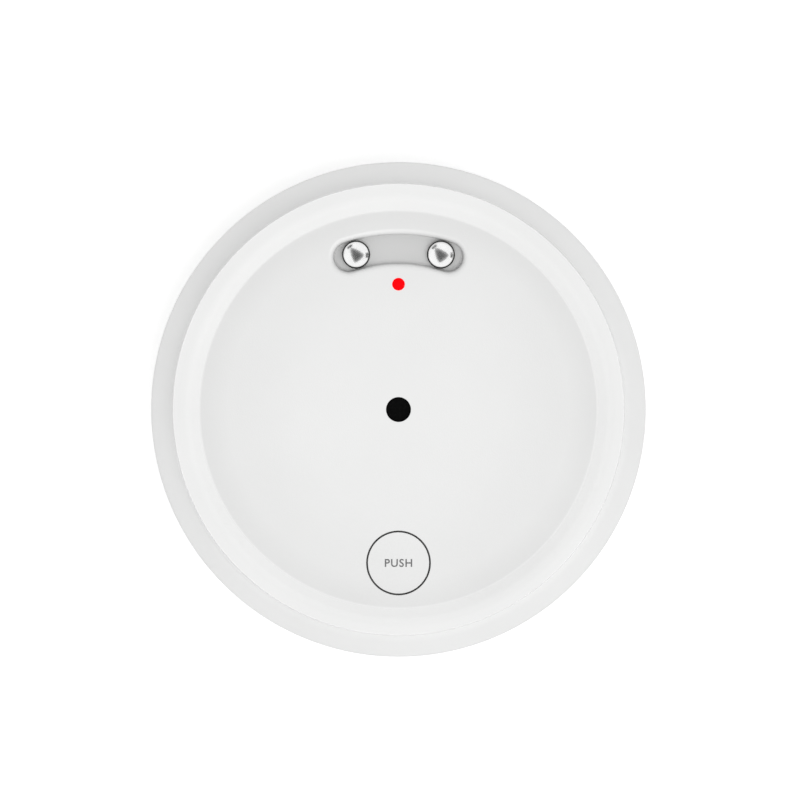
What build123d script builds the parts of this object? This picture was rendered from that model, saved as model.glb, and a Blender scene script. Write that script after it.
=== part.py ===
from build123d import *
import math
import os

# Water leak sensor: a round case on three probes, with two more probes, an
# indicator, a sound hole and a test button in its dished top.
# The origin is under the middle of the case, level with the probe tips.
# X runs to the right, Y to the back, where the top probes are, and Z up.
# Lengths are in millimetres and angles in degrees.

os.makedirs("parts", exist_ok=True)

# Case, seen from above
body_radius = 40.0
shoulder_width = 3.5
rim_width = 2.3
cove_width = 2.12

# Case, seen from the side
stand_off = 1.0
seam_height = 8.0
shoulder_rise = 3.6
collar_height = 3.4
dish_depth = 1.6

# Case walls and edges
side_wall = 2.2
top_wall = 1.8
base_wall = 2.0
shoulder_drop = 0.6
base_rounding = 1.6
shoulder_rounding = 1.4
collar_foot_rounding = 0.5
rim_outer_rounding = 0.3
rim_inner_rounding = 2.9
dish_rounding = 0.2
edge_break = 0.15
inner_rounding = 0.8

# Seam between the housings
seam_gap = 0.3
tongue_wall = 0.9
tongue_height = 1.4
tongue_gap = 0.2
housing_seal_height = 0.8

# Screws that hold the housings together
housing_screw_angle = 52.0
boss_inset = 3.4
boss_wall = 1.7
boss_embed = 0.4
pillar_wall = 0.9
pillar_rise = 0.6
pillar_web = 2.0
screw_shank_radius = 1.1
screw_head_radius = 2.0
screw_head_height = 1.5
screw_head_gap = 0.3
screw_engagement = 7.0
screw_hole_spare = 1.0
screw_clearance = 0.15
thread_gap = 0.02
recess_radius = 0.95
recess_slot = 0.5
recess_depth = 0.7

# Groove round the top probes
probe_inset = 6.2
groove_side_gap = 0.15
groove_end_angle = 18.1
groove_depth = 2.4
groove_floor_wall = 1.5
groove_side_wall = 1.4
groove_lip = 1.0
groove_floor_rounding = 0.12

# Top probes
probe_angle = 15.3
probe_head_radius = 2.25
probe_head_edge = 1.9
probe_dome = 1.1
probe_shank_radius = 1.25
probe_hole_gap = 0.05
probe_seal_setback = 0.3
probe_seal_gap = 0.1
probe_seal_height = 0.6
probe_nut_wall = 1.05
probe_nut_height = 1.4
probe_tail = 0.4

# Sprung leaves under the top probes
leaf_width = 2.6
leaf_length = 5.0
leaf_sheet = 0.25

# Bottom probes, which the sensor stands on
foot_edge_distance = 3.3
foot_spread_angle = 48.0
foot_head_radius = 2.5
foot_head_rounding = 0.7
foot_seal_setback = 0.4
foot_seal_height = 0.8
foot_boss_wall = 2.1
foot_boss_rise = 1.0
foot_engagement = 4.0
post_wall = 0.75
post_bore_spare = 0.8

# Battery cells
cell_radius = 5.25
cell_length = 44.5
cell_nub_radius = 1.9
cell_nub_length = 1.0
cell_rounding = 0.4
cell_gap = 0.8

# Battery bay
bay_offset = 3.0
bay_side_gap = 0.35
cell_clearance = 0.5
roof_gap = 0.3
bay_wall = 1.4
bay_roof_wall = 1.1
bay_rounding = 0.8

# Battery contacts
contact_sheet = 0.4
contact_width = 9.0
contact_height = 9.0
contact_tab_width = 2.0
contact_tab_rise = 0.8
tab_slot_gap = 0.25
spring_length = 5.2
spring_foot_radius = 3.6
spring_tip_radius = 2.4
spring_wire = 0.6
contact_corner = 1.0

# Battery door
door_thickness = 1.6
door_gap = 0.3
door_lip = 0.6
door_corner = 6.0
door_edge_break = 0.25
door_seal_inset = 0.5
door_seal_width = 1.4
door_seal_height = 0.8
door_seal_clearance = 0.1
frame_wall = 1.4
frame_margin = 1.6

# Captive door screws
door_screw_inset = 3.0
door_screw_head_radius = 2.2
door_screw_head_height = 0.9
door_head_recess = 1.0
door_head_gap = 0.3
door_boss_wall = 0.9
neck_radius = 0.9
neck_gap = 0.08
neck_rise = 0.1
door_thread_step = 0.15
door_thread_length = 5.5
door_thread_gap = 0.08
door_screw_boss_wall = 1.5
door_screw_boss_spare = 1.0

# Circuit board
board_gap = 0.5
board_thickness = 1.2
board_rest_height = 1.0
board_rest_radius = 1.2
board_rest_spacing_x = 34.0
board_rest_spacing_y = 16.0
board_screw_radius = 1.0
board_screw_head_radius = 1.9
board_screw_head_height = 1.3
board_screw_length = 4.0
board_hole_gap = 0.15

# Buzzer
sound_hole_radius = 2.0
membrane_lap = 1.6
membrane_thickness = 0.2
buzzer_radius_share = 0.323
buzzer_wall = 0.9
buzzer_port_radius = 2.0
buzzer_disc_gap = 0.5
buzzer_disc_thickness = 0.3
buzzer_disc_rise = 1.6
buzzer_ledge_width = 1.0
gasket_height = 0.6
gasket_gap = 0.8
gasket_width_share = 0.8
locator_gap = 0.4
locator_wall = 0.9
locator_depth = 1.5

# Indicator
light_spacing = 5.7
light_radius = 1.0
light_hole_gap = 0.03
light_dome = 0.15
light_flange_lap = 0.8
light_flange_height = 0.7
light_shaft_step = 0.3
light_collar_wall = 0.8
light_collar_depth = 2.0
light_collar_gap = 0.15
led_width = 3.5
led_depth = 2.8
led_height = 0.8
led_gap = 0.3

# Test button
button_distance_share = 0.77
button_radius_share = 0.156
button_gap = 0.24
button_edge = 0.12
button_travel = 0.4
button_flange_lap = 1.1
button_flange_height = 0.7
button_flange_gap = 0.1
button_stem_radius = 2.2
button_stem_length = 0.3
button_wall = 1.5
button_hollow_depth = 0.9

# Membrane under the button
membrane_web = 0.4
membrane_pad = 0.5
membrane_side_gap = 0.8
membrane_rim_wall = 1.0
membrane_web_gap = 0.1
membrane_fit = 0.1
button_ring_wall = 0.9
button_ring_depth = 1.3

# Switch under the button
switch_side = 4.5
switch_height = 3.8
switch_plunger_spare = 0.1
switch_cover_thickness = 0.2
switch_cover_setback = 0.1
plunger_radius = 1.2
plunger_length = 2.2
plunger_flange_lap = 0.4
plunger_flange_gap = 0.1
plunger_gap = 0.08
plunger_floor_gap = 0.2

# Radio module
radio_width = 11.6
radio_length = 16.0
radio_board_thickness = 0.8
radio_gap = 0.8
shield_margin = 0.8
antenna_length = 4.6
shield_height = 2.0
shield_sheet = 0.2

# Other parts on the board
chip_side = 7.0
chip_height = 1.0
chip_lead_length = 1.0
chip_lead_width = 0.3
chip_lead_thickness = 0.2
chip_lead_pitch = 0.8
chip_lead_count = 8
chip_drop = 5.0
coil_radius = 3.0
coil_waist_radius = 2.3
coil_height = 3.6
coil_flange = 0.8
coil_rise = 5.0
capacitor_radius = 2.5
capacitor_height = 4.0
capacitor_base = 0.6
capacitor_gap = 1.1
small_part_length = 1.6
small_part_width = 0.8
small_part_height = 0.5
small_part_pitch = 2.6
small_part_rows = 2
small_part_columns = 4

# Rubber rings lie this far from the walls that hold them
ring_gap = 0.05

# One overrun for every cut that has to pass through a face
overrun = 1.0

# Radii that follow from the widths, and those that take their share of the dish
collar_radius = body_radius - shoulder_width
rim_inner_radius = collar_radius - rim_width
dish_radius = rim_inner_radius - cove_width
body_bore = body_radius - side_wall
collar_bore = collar_radius - side_wall
screw_circle_radius = collar_radius - boss_inset
boss_radius = screw_shank_radius + boss_wall
screw_pocket_radius = screw_head_radius + screw_head_gap
pillar_radius = screw_pocket_radius + pillar_wall
board_radius = screw_circle_radius - boss_radius - board_gap
foot_circle_radius = board_radius - foot_edge_distance
probe_circle_radius = dish_radius - probe_inset
button_radius = button_radius_share * dish_radius
buzzer_radius = buzzer_radius_share * dish_radius

# Heights from the base up to the rim
base_top = stand_off + base_wall
door_inner = stand_off + door_thickness
door_ledge = door_inner + door_seal_height
frame_top = door_ledge + frame_wall
cell_height = door_inner + cell_clearance + cell_radius
bay_roof = cell_height + cell_radius + roof_gap
bay_top = bay_roof + bay_roof_wall
board_bottom = bay_top + board_rest_height
board_top = board_bottom + board_thickness
switch_top = board_top + switch_height
pad_top = switch_top + membrane_pad
button_flange_bottom = pad_top + button_stem_length
button_flange_top = button_flange_bottom + button_flange_height
plate_bottom = button_flange_top + button_flange_gap
dish_height = plate_bottom + top_wall
rim_height = dish_height + dish_depth
shoulder_top = rim_height - collar_height
shoulder_foot = shoulder_top - shoulder_rise

# Heights at the seam
skirt_bottom = seam_height + seam_gap
tongue_top = seam_height + tongue_height
rebate_roof = tongue_top + housing_seal_height
pillar_top = seam_height + pillar_rise
pillar_seat = pillar_top - pillar_web

# Heights at the groove and the probes
groove_floor = dish_height - groove_depth
groove_underside = groove_floor - groove_floor_wall
leaf_top = groove_underside - probe_nut_height - probe_tail
leaf_height = leaf_top - board_top
foot_boss_top = base_top + foot_boss_rise

# Battery bay, door and contacts, seen from below
bay_length = cell_length + spring_length + 2 * contact_sheet
cell_pitch = 2 * cell_radius + cell_gap
bay_width = cell_pitch + 2 * cell_radius + 2 * bay_side_gap
seal_reach = door_seal_inset + door_seal_width
door_boss_radius = neck_radius + neck_gap + door_boss_wall
door_thread_radius = neck_radius + door_thread_step
door_screw_x = bay_length / 2 + seal_reach + door_seal_clearance + door_boss_radius
door_length = 2 * (door_screw_x + door_screw_inset)
door_width = bay_width + 2 * (seal_reach + door_lip)
contact_face_x = bay_length / 2 - contact_sheet
tab_x = bay_length / 2 - contact_sheet / 2
cell_back_y = bay_offset + cell_pitch / 2
cell_front_y = bay_offset - cell_pitch / 2

# Radii of what passes through the top and base and of what lies round it
groove_width = 2 * (probe_head_radius + groove_side_gap)
probe_seal_radius = probe_head_radius - probe_seal_setback
foot_seal_radius = foot_head_radius - foot_seal_setback
membrane_radius = sound_hole_radius + membrane_lap
gasket_bore = membrane_radius + gasket_gap
light_flange_radius = light_radius + light_flange_lap
light_collar_bore = light_flange_radius + light_collar_gap
button_bore = button_radius + button_gap
button_flange_radius = button_bore + button_flange_lap
button_hollow_radius = button_radius - button_wall
membrane_rim_bore = button_flange_radius + membrane_side_gap
membrane_rim_radius = membrane_rim_bore + membrane_rim_wall
button_ring_bore = membrane_rim_radius + membrane_fit
button_ring_radius = button_ring_bore + button_ring_wall
plunger_flange_radius = plunger_radius + plunger_flange_lap

# Places on the top
light_y = probe_circle_radius - light_spacing
button_y = -button_distance_share * dish_radius
web_top = button_flange_bottom - button_travel - membrane_web_gap
web_bottom = web_top - membrane_web
cover_bottom = switch_top - button_travel - switch_plunger_spare - switch_cover_thickness
plunger_bottom = switch_top - plunger_length
gasket_bottom = plate_bottom - gasket_height
gasket_radius = gasket_bore + gasket_width_share * (buzzer_radius - gasket_bore)
locator_bore = buzzer_radius + locator_gap

# Places on the board
radio_x = -(buzzer_radius + radio_gap + radio_width / 2)
radio_top = board_top + radio_board_thickness
parts_x = buzzer_radius + radio_gap + chip_side / 2 + chip_lead_length
small_parts_y = (button_y + switch_side / 2 - buzzer_radius) / 2


def polar(radius, angle):
    """The point at this radius and angle, seen from above."""
    turn = math.radians(angle)
    return (radius * math.cos(turn), radius * math.sin(turn))


def four_ways(angle):
    """The angles of four points that mirror one another in X and Y."""
    half_turn = 180
    return (angle, half_turn - angle, half_turn + angle, -angle)


back = 90
screw_points = [polar(screw_circle_radius, angle) for angle in four_ways(housing_screw_angle)]
top_probe_points = {
    "left": polar(probe_circle_radius, back + probe_angle),
    "right": polar(probe_circle_radius, back - probe_angle),
}
foot_points = {
    "back": polar(foot_circle_radius, back),
    "left": polar(foot_circle_radius, -back - foot_spread_angle),
    "right": polar(foot_circle_radius, -back + foot_spread_angle),
}
door_screw_points = {
    "left": (-door_screw_x, bay_offset),
    "right": (door_screw_x, bay_offset),
}
groove_arc = CenterArc((0, 0), probe_circle_radius, back - groove_end_angle, 2 * groove_end_angle)


def discs(points, radius, low, high, mode=Mode.ADD):
    """Add or cut a round at each point, between two heights."""
    with BuildSketch(Plane.XY.offset(low)) as rounds:
        with Locations(*points):
            Circle(radius)
    extrude(rounds.sketch, amount=high - low, mode=mode)


def rings(points, outer, inner, low, high):
    """Add a ring at each point, between two heights."""
    with BuildSketch(Plane.XY.offset(low)) as bands:
        with Locations(*points):
            Circle(outer)
        with Locations(*points):
            Circle(inner, mode=Mode.SUBTRACT)
    extrude(bands.sketch, amount=high - low)


def block(x, y, length, width, low, high, mode=Mode.ADD):
    """Add or cut a rectangular block, centred in plan and between two heights."""
    with BuildSketch(Plane((x, y, low))) as base:
        Rectangle(length, width)
    extrude(base.sketch, amount=high - low, mode=mode)


def rounded_block(y, length, width, corner, low, high, mode=Mode.ADD):
    """Add or cut a block with rounded upright corners."""
    with BuildSketch(Plane((0, y, low))) as base:
        RectangleRounded(length, width, corner)
    extrude(base.sketch, amount=high - low, mode=mode)


def turned(outline, roundings, x=0, y=0):
    """Turn a section about an upright axis; each corner has its rounding."""
    section_plane = Plane((x, y, 0), x_dir=(1, 0, 0), z_dir=(0, -1, 0))
    with BuildSketch(section_plane) as section:
        with BuildLine():
            FilletPolyline(*outline, radius=roundings, close=True)
        make_face()
    revolve(section.sketch, axis=Axis((x, y, 0), (0, 0, 1)))


def domed(x, y, radius, low, edge, dome):
    """Add a round with an upright edge and part of a ball as its dome."""
    section_plane = Plane((x, y, low), x_dir=(1, 0, 0), z_dir=(0, -1, 0))
    ball_radius = (radius**2 + dome**2) / (2 * dome)
    with BuildSketch(section_plane) as section:
        with BuildLine():
            RadiusArc((radius, edge), (0, edge + dome), -ball_radius)
            Polyline((0, edge + dome), (0, 0), (radius, 0), (radius, edge))
        make_face()
    revolve(section.sketch, axis=Axis((x, y, 0), (0, 0, 1)))


def turned_along_x(x, y, direction, outline, roundings):
    """Turn a section about an axis along X at cell height, from x towards the direction."""
    section_plane = Plane((x, y, cell_height), x_dir=(direction, 0, 0), z_dir=(0, -direction, 0))
    with BuildSketch(section_plane) as section:
        with BuildLine():
            FilletPolyline(*outline, radius=roundings, close=True)
        make_face()
    revolve(section.sketch, axis=Axis((x, y, cell_height), (direction, 0, 0)))


def hexagons(points, flat_radius, low, high):
    """Add a hexagon at each point, between two heights; the radius is to its flats."""
    with BuildSketch(Plane.XY.offset(low)) as hexes:
        with Locations(*points):
            RegularPolygon(flat_radius, side_count=6, major_radius=False)
    extrude(hexes.sketch, amount=high - low)


def cross_recess(points, face, depth):
    """Cut a cross into screw heads, upwards from their face, or down for a minus depth."""
    with BuildSketch(Plane.XY.offset(face)) as cross:
        with Locations(*points):
            Rectangle(2 * recess_radius, recess_slot)
            Rectangle(recess_slot, 2 * recess_radius)
    extrude(cross.sketch, amount=depth, mode=Mode.SUBTRACT)


# Upper housing
with BuildPart() as upper_housing:
    turned(
        [
            (0, dish_height),
            (dish_radius, dish_height),
            (rim_inner_radius, rim_height),
            (collar_radius, rim_height),
            (collar_radius, shoulder_top),
            (body_radius, shoulder_foot),
            (body_radius, skirt_bottom),
            (body_bore + tongue_wall + tongue_gap, skirt_bottom),
            (body_bore + tongue_wall + tongue_gap, rebate_roof),
            (body_bore, rebate_roof),
            (body_bore, shoulder_foot - shoulder_drop),
            (collar_bore, shoulder_top - shoulder_drop),
            (collar_bore, plate_bottom),
            (0, plate_bottom),
        ],
        [
            0,
            dish_rounding,
            rim_inner_rounding,
            rim_outer_rounding,
            collar_foot_rounding,
            shoulder_rounding,
            edge_break,
            0,
            0,
            0,
            inner_rounding,
            0,
            0,
            0,
        ],
    )
    # Underside of the groove and the rings that locate what lies under the top
    with BuildSketch(Plane.XY.offset(groove_underside)) as groove_pad:
        SlotArc(groove_arc, groove_width + 2 * groove_side_wall)
    extrude(groove_pad.sketch, amount=dish_height - top_wall / 2 - groove_underside)
    discs(screw_points, boss_radius, pillar_top, plate_bottom + boss_embed)
    rings(
        [(0, button_y)],
        button_ring_radius,
        button_ring_bore,
        plate_bottom - button_ring_depth,
        plate_bottom,
    )
    rings([(0, 0)], locator_bore + locator_wall, locator_bore, plate_bottom - locator_depth, plate_bottom)
    rings(
        [(0, light_y)],
        light_collar_bore + light_collar_wall,
        light_collar_bore,
        plate_bottom - light_collar_depth,
        plate_bottom,
    )
    # Groove with soft lips
    with BuildSketch(Plane.XY.offset(groove_floor)) as groove:
        SlotArc(groove_arc, groove_width)
    extrude(groove.sketch, amount=groove_depth + overrun, mode=Mode.SUBTRACT)
    groove_edges = upper_housing.edges(Select.LAST)
    groove_lips = groove_edges.group_by(Axis.Z)[-1]
    groove_corners = groove_edges.group_by(Axis.Z)[0]
    fillet(groove_lips, groove_lip)
    fillet(groove_corners, groove_floor_rounding)
    # Holes
    probe_points = list(top_probe_points.values())
    discs(probe_points, probe_shank_radius + probe_hole_gap, groove_underside - overrun,
          dish_height, Mode.SUBTRACT)
    discs(probe_points, probe_seal_radius, groove_floor - probe_seal_height, groove_floor, Mode.SUBTRACT)
    discs([(0, 0)], sound_hole_radius, plate_bottom - overrun, dish_height + overrun, Mode.SUBTRACT)
    discs([(0, light_y)], light_radius + light_hole_gap, plate_bottom - overrun,
          dish_height + overrun, Mode.SUBTRACT)
    discs([(0, light_y)], light_collar_bore, plate_bottom - light_collar_depth, plate_bottom,
          Mode.SUBTRACT)
    discs([(0, button_y)], button_bore, plate_bottom - overrun, dish_height + overrun, Mode.SUBTRACT)
    button_mouth = upper_housing.edges(Select.LAST).filter_by(GeomType.CIRCLE).group_by(Axis.Z)[-1]
    fillet(button_mouth, edge_break)
    discs(screw_points, screw_shank_radius + thread_gap, pillar_top - overrun,
          pillar_top + screw_engagement + screw_hole_spare, Mode.SUBTRACT)
upper_housing.part.label = "upper_housing"
export_step(upper_housing.part, "parts/upper_housing.step")

# Lower housing with the battery bay
with BuildPart() as lower_housing:
    turned(
        [
            (0, stand_off),
            (body_radius, stand_off),
            (body_radius, seam_height),
            (body_bore + tongue_wall, seam_height),
            (body_bore + tongue_wall, tongue_top),
            (body_bore, tongue_top),
            (body_bore, base_top),
            (0, base_top),
        ],
        [0, base_rounding, edge_break, 0, edge_break, 0, inner_rounding, 0],
    )
    rounded_block(bay_offset, door_length + 2 * frame_margin, door_width + 2 * frame_margin,
                  door_corner + frame_margin, base_top, frame_top)
    rounded_block(bay_offset, bay_length + 2 * bay_wall, bay_width + 2 * bay_wall,
                  bay_rounding + bay_wall, base_top, bay_top)
    discs(screw_points, pillar_radius, base_top, pillar_top)
    discs(foot_points.values(), probe_shank_radius + foot_boss_wall, base_top, foot_boss_top)
    discs(door_screw_points.values(), door_thread_radius + door_screw_boss_wall, frame_top,
          door_ledge + door_thread_length + door_screw_boss_spare)
    with BuildSketch(Plane((0, bay_offset, bay_top))) as board_rests:
        with GridLocations(board_rest_spacing_x, board_rest_spacing_y, 2, 2):
            Circle(board_rest_radius)
    extrude(board_rests.sketch, amount=board_rest_height)
    # Bay, door recess and seal ledge
    rounded_block(bay_offset, door_length + 2 * door_gap, door_width + 2 * door_gap,
                  door_corner + door_gap, stand_off - overrun, door_ledge, Mode.SUBTRACT)
    rounded_block(bay_offset, bay_length, bay_width, bay_rounding, door_ledge - overrun, bay_roof,
                  Mode.SUBTRACT)
    for tab_y in (cell_front_y, cell_back_y):
        block(-tab_x, tab_y, contact_sheet + 2 * tab_slot_gap, contact_tab_width + 2 * tab_slot_gap,
              bay_roof - overrun, bay_top + overrun, Mode.SUBTRACT)
    # Screw and probe holes
    discs(screw_points, screw_pocket_radius, stand_off - overrun, pillar_seat, Mode.SUBTRACT)
    discs(screw_points, screw_shank_radius + screw_clearance, pillar_seat - overrun,
          pillar_top + overrun, Mode.SUBTRACT)
    discs(foot_points.values(), foot_seal_radius, stand_off - overrun,
          stand_off + foot_seal_height, Mode.SUBTRACT)
    discs(foot_points.values(), probe_shank_radius + probe_hole_gap, stand_off,
          foot_boss_top + overrun, Mode.SUBTRACT)
    discs(door_screw_points.values(), door_thread_radius + door_thread_gap, door_ledge - overrun,
          door_ledge + door_thread_length + door_screw_boss_spare / 2, Mode.SUBTRACT)
lower_housing.part.label = "lower_housing"
export_step(lower_housing.part, "parts/lower_housing.step")

# Rubber ring in the seam
with BuildPart() as housing_seal:
    rings([(0, 0)], body_bore + tongue_wall, body_bore + ring_gap, tongue_top, rebate_roof)
housing_seal.part.label = "housing_seal"
export_step(housing_seal.part, "parts/housing_seal.step")

# Screws that hold the housings together
with BuildPart() as housing_screws:
    discs(screw_points, screw_head_radius, pillar_seat - screw_head_height, pillar_seat)
    discs(screw_points, screw_shank_radius, pillar_seat, pillar_top + screw_engagement)
    cross_recess(screw_points, pillar_seat - screw_head_height, recess_depth)
housing_screws.part.label = "housing_screws"
export_step(housing_screws.part, "parts/housing_screws.step")

# Domed steel probes in the groove
for side, (x, y) in top_probe_points.items():
    with BuildPart() as top_probe:
        domed(x, y, probe_head_radius, groove_floor, probe_head_edge, probe_dome)
        discs([(x, y)], probe_shank_radius, leaf_top, groove_floor)
    top_probe.part.label = f"top_probe_{side}"
    export_step(top_probe.part, f"parts/top_probe_{side}.step")

# Rubber rings under the heads of the top probes
with BuildPart() as top_probe_seals:
    rings(probe_points, probe_seal_radius - ring_gap, probe_shank_radius + probe_seal_gap,
          groove_floor - probe_seal_height, groove_floor)
top_probe_seals.part.label = "top_probe_seals"
export_step(top_probe_seals.part, "parts/top_probe_seals.step")

# Nuts that hold the top probes
with BuildPart() as top_probe_nuts:
    nut_bore = probe_shank_radius + thread_gap
    hexagons(probe_points, nut_bore + probe_nut_wall, groove_underside - probe_nut_height,
             groove_underside)
    discs(probe_points, nut_bore, leaf_top, groove_underside, Mode.SUBTRACT)
top_probe_nuts.part.label = "top_probe_nuts"
export_step(top_probe_nuts.part, "parts/top_probe_nuts.step")

# Folded leaves that stand on the board and press up against the top probes
with BuildPart() as top_probe_contacts:
    for x, y in probe_points:
        with BuildSketch(Plane((x, y, board_top), x_dir=(0, 1, 0), z_dir=(1, 0, 0))) as leaf:
            Rectangle(leaf_length, leaf_height, align=(Align.CENTER, Align.MIN))
            with Locations((leaf_sheet, leaf_sheet)):
                Rectangle(leaf_length, leaf_height - 2 * leaf_sheet, align=(Align.CENTER, Align.MIN),
                          mode=Mode.SUBTRACT)
        extrude(leaf.sketch, amount=leaf_width / 2, both=True)
top_probe_contacts.part.label = "top_probe_contacts"
export_step(top_probe_contacts.part, "parts/top_probe_contacts.step")

# Probes that the sensor stands on, with a flat tip
for place, (x, y) in foot_points.items():
    with BuildPart() as bottom_probe:
        turned(
            [
                (0, 0),
                (foot_head_radius, 0),
                (foot_head_radius, stand_off),
                (probe_shank_radius, stand_off),
                (probe_shank_radius, foot_boss_top + foot_engagement),
                (0, foot_boss_top + foot_engagement),
            ],
            [0, foot_head_rounding, 0, 0, 0, 0],
            x,
            y,
        )
    bottom_probe.part.label = f"bottom_probe_{place}"
    export_step(bottom_probe.part, f"parts/bottom_probe_{place}.step")

# Rubber rings over the heads of the bottom probes
with BuildPart() as bottom_probe_seals:
    rings(foot_points.values(), foot_seal_radius - ring_gap, probe_shank_radius + ring_gap,
          stand_off, stand_off + foot_seal_height)
bottom_probe_seals.part.label = "bottom_probe_seals"
export_step(bottom_probe_seals.part, "parts/bottom_probe_seals.step")

# Brass posts that the bottom probes screw into and that carry the board
with BuildPart() as bottom_probe_posts:
    post_bore = probe_shank_radius + thread_gap
    hexagons(foot_points.values(), post_bore + post_wall, foot_boss_top, board_bottom)
    discs(foot_points.values(), post_bore, foot_boss_top,
          foot_boss_top + foot_engagement + post_bore_spare, Mode.SUBTRACT)
    discs(foot_points.values(), board_screw_radius + thread_gap,
          board_top - board_screw_length - post_bore_spare, board_bottom, Mode.SUBTRACT)
bottom_probe_posts.part.label = "bottom_probe_posts"
export_step(bottom_probe_posts.part, "parts/bottom_probe_posts.step")

# Circuit board, with holes for its screws and slots for the battery tabs
with BuildPart() as circuit_board:
    discs([(0, 0)], board_radius, board_bottom, board_top)
    discs(foot_points.values(), board_screw_radius + board_hole_gap, board_bottom - overrun,
          board_top + overrun, Mode.SUBTRACT)
    for tab_y in (cell_front_y, cell_back_y):
        block(-tab_x, tab_y, contact_sheet + 2 * tab_slot_gap, contact_tab_width + 2 * tab_slot_gap,
              board_bottom - overrun, board_top + overrun, Mode.SUBTRACT)
circuit_board.part.label = "circuit_board"
export_step(circuit_board.part, "parts/circuit_board.step")

# Screws that hold the board to the posts
with BuildPart() as board_screws:
    discs(foot_points.values(), board_screw_head_radius, board_top, board_top + board_screw_head_height)
    discs(foot_points.values(), board_screw_radius, board_top - board_screw_length, board_top)
    cross_recess(foot_points.values(), board_top + board_screw_head_height, -recess_depth)
board_screws.part.label = "board_screws"
export_step(board_screws.part, "parts/board_screws.step")

# Radio module and its metal can
with BuildPart() as radio_board:
    block(radio_x, 0, radio_width, radio_length, board_top, radio_top)
radio_board.part.label = "radio_board"
export_step(radio_board.part, "parts/radio_board.step")

shield_width = radio_width - 2 * shield_margin
shield_length = radio_length - shield_margin - antenna_length
shield_y = shield_margin + shield_length / 2 - radio_length / 2
with BuildPart() as radio_shield:
    block(radio_x, shield_y, shield_width, shield_length, radio_top, radio_top + shield_height)
    block(radio_x, shield_y, shield_width - 2 * shield_sheet, shield_length - 2 * shield_sheet,
          radio_top - overrun, radio_top + shield_height - shield_sheet, Mode.SUBTRACT)
radio_shield.part.label = "radio_shield"
export_step(radio_shield.part, "parts/radio_shield.step")

# Controller chip with leads on its four sides
with BuildPart() as microcontroller:
    block(parts_x, -chip_drop, chip_side, chip_side, board_top, board_top + chip_height)
    with BuildSketch(Plane((parts_x, -chip_drop, board_top))) as leads:
        with GridLocations(chip_lead_pitch, chip_side + chip_lead_length, chip_lead_count, 2):
            Rectangle(chip_lead_width, chip_lead_length)
        with GridLocations(chip_side + chip_lead_length, chip_lead_pitch, 2, chip_lead_count):
            Rectangle(chip_lead_length, chip_lead_width)
    extrude(leads.sketch, amount=chip_lead_thickness)
microcontroller.part.label = "microcontroller"
export_step(microcontroller.part, "parts/microcontroller.step")

# Wound core that drives the buzzer
with BuildPart() as alarm_coil:
    turned(
        [
            (0, board_top),
            (coil_radius, board_top),
            (coil_radius, board_top + coil_flange),
            (coil_waist_radius, board_top + coil_flange),
            (coil_waist_radius, board_top + coil_height - coil_flange),
            (coil_radius, board_top + coil_height - coil_flange),
            (coil_radius, board_top + coil_height),
            (0, board_top + coil_height),
        ],
        [0, 0, 0, 0, 0, 0, 0, 0],
        parts_x,
        coil_rise,
    )
alarm_coil.part.label = "alarm_coil"
export_step(alarm_coil.part, "parts/alarm_coil.step")

# Capacitor on its square foot
with BuildPart() as board_capacitor:
    capacitor_y = coil_rise + coil_radius + capacitor_gap + capacitor_radius
    block(parts_x, capacitor_y, 2 * capacitor_radius, 2 * capacitor_radius, board_top,
          board_top + capacitor_base)
    discs([(parts_x, capacitor_y)], capacitor_radius, board_top + capacitor_base,
          board_top + capacitor_height)
board_capacitor.part.label = "board_capacitor"
export_step(board_capacitor.part, "parts/board_capacitor.step")

# Small parts between the buzzer and the switch
with BuildPart() as chip_parts:
    with BuildSketch(Plane((0, small_parts_y, board_top))) as small_parts:
        with GridLocations(small_part_pitch, small_part_pitch, small_part_columns, small_part_rows):
            Rectangle(small_part_length, small_part_width)
    extrude(small_parts.sketch, amount=small_part_height)
chip_parts.part.label = "chip_parts"
export_step(chip_parts.part, "parts/chip_parts.step")

# Buzzer under the sound hole: case, disc, gasket and the membrane over the hole
disc_bottom = board_top + buzzer_disc_rise
disc_top = disc_bottom + buzzer_disc_thickness
buzzer_bore = buzzer_radius - buzzer_wall
with BuildPart() as buzzer_case:
    turned(
        [
            (buzzer_port_radius, gasket_bottom),
            (buzzer_radius, gasket_bottom),
            (buzzer_radius, board_top),
            (buzzer_bore, board_top),
            (buzzer_bore, disc_top),
            (buzzer_bore - buzzer_ledge_width, disc_top),
            (buzzer_bore - buzzer_ledge_width, gasket_bottom - buzzer_wall),
            (buzzer_port_radius, gasket_bottom - buzzer_wall),
        ],
        [0, edge_break, 0, 0, 0, 0, 0, 0],
    )
buzzer_case.part.label = "buzzer_case"
export_step(buzzer_case.part, "parts/buzzer_case.step")

with BuildPart() as buzzer_disc:
    discs([(0, 0)], buzzer_bore - buzzer_disc_gap, disc_bottom, disc_top)
buzzer_disc.part.label = "buzzer_disc"
export_step(buzzer_disc.part, "parts/buzzer_disc.step")

with BuildPart() as buzzer_gasket:
    rings([(0, 0)], gasket_radius, gasket_bore, gasket_bottom, plate_bottom)
buzzer_gasket.part.label = "buzzer_gasket"
export_step(buzzer_gasket.part, "parts/buzzer_gasket.step")

with BuildPart() as sound_membrane:
    discs([(0, 0)], membrane_radius, plate_bottom - membrane_thickness, plate_bottom)
sound_membrane.part.label = "sound_membrane"
export_step(sound_membrane.part, "parts/sound_membrane.step")

# Indicator: the light on the board and the red pipe up to the dish
light_bottom = board_top + led_height + led_gap
with BuildPart() as led_chip:
    block(0, light_y, led_width, led_depth, board_top, board_top + led_height)
led_chip.part.label = "led_chip"
export_step(led_chip.part, "parts/led_chip.step")

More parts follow.
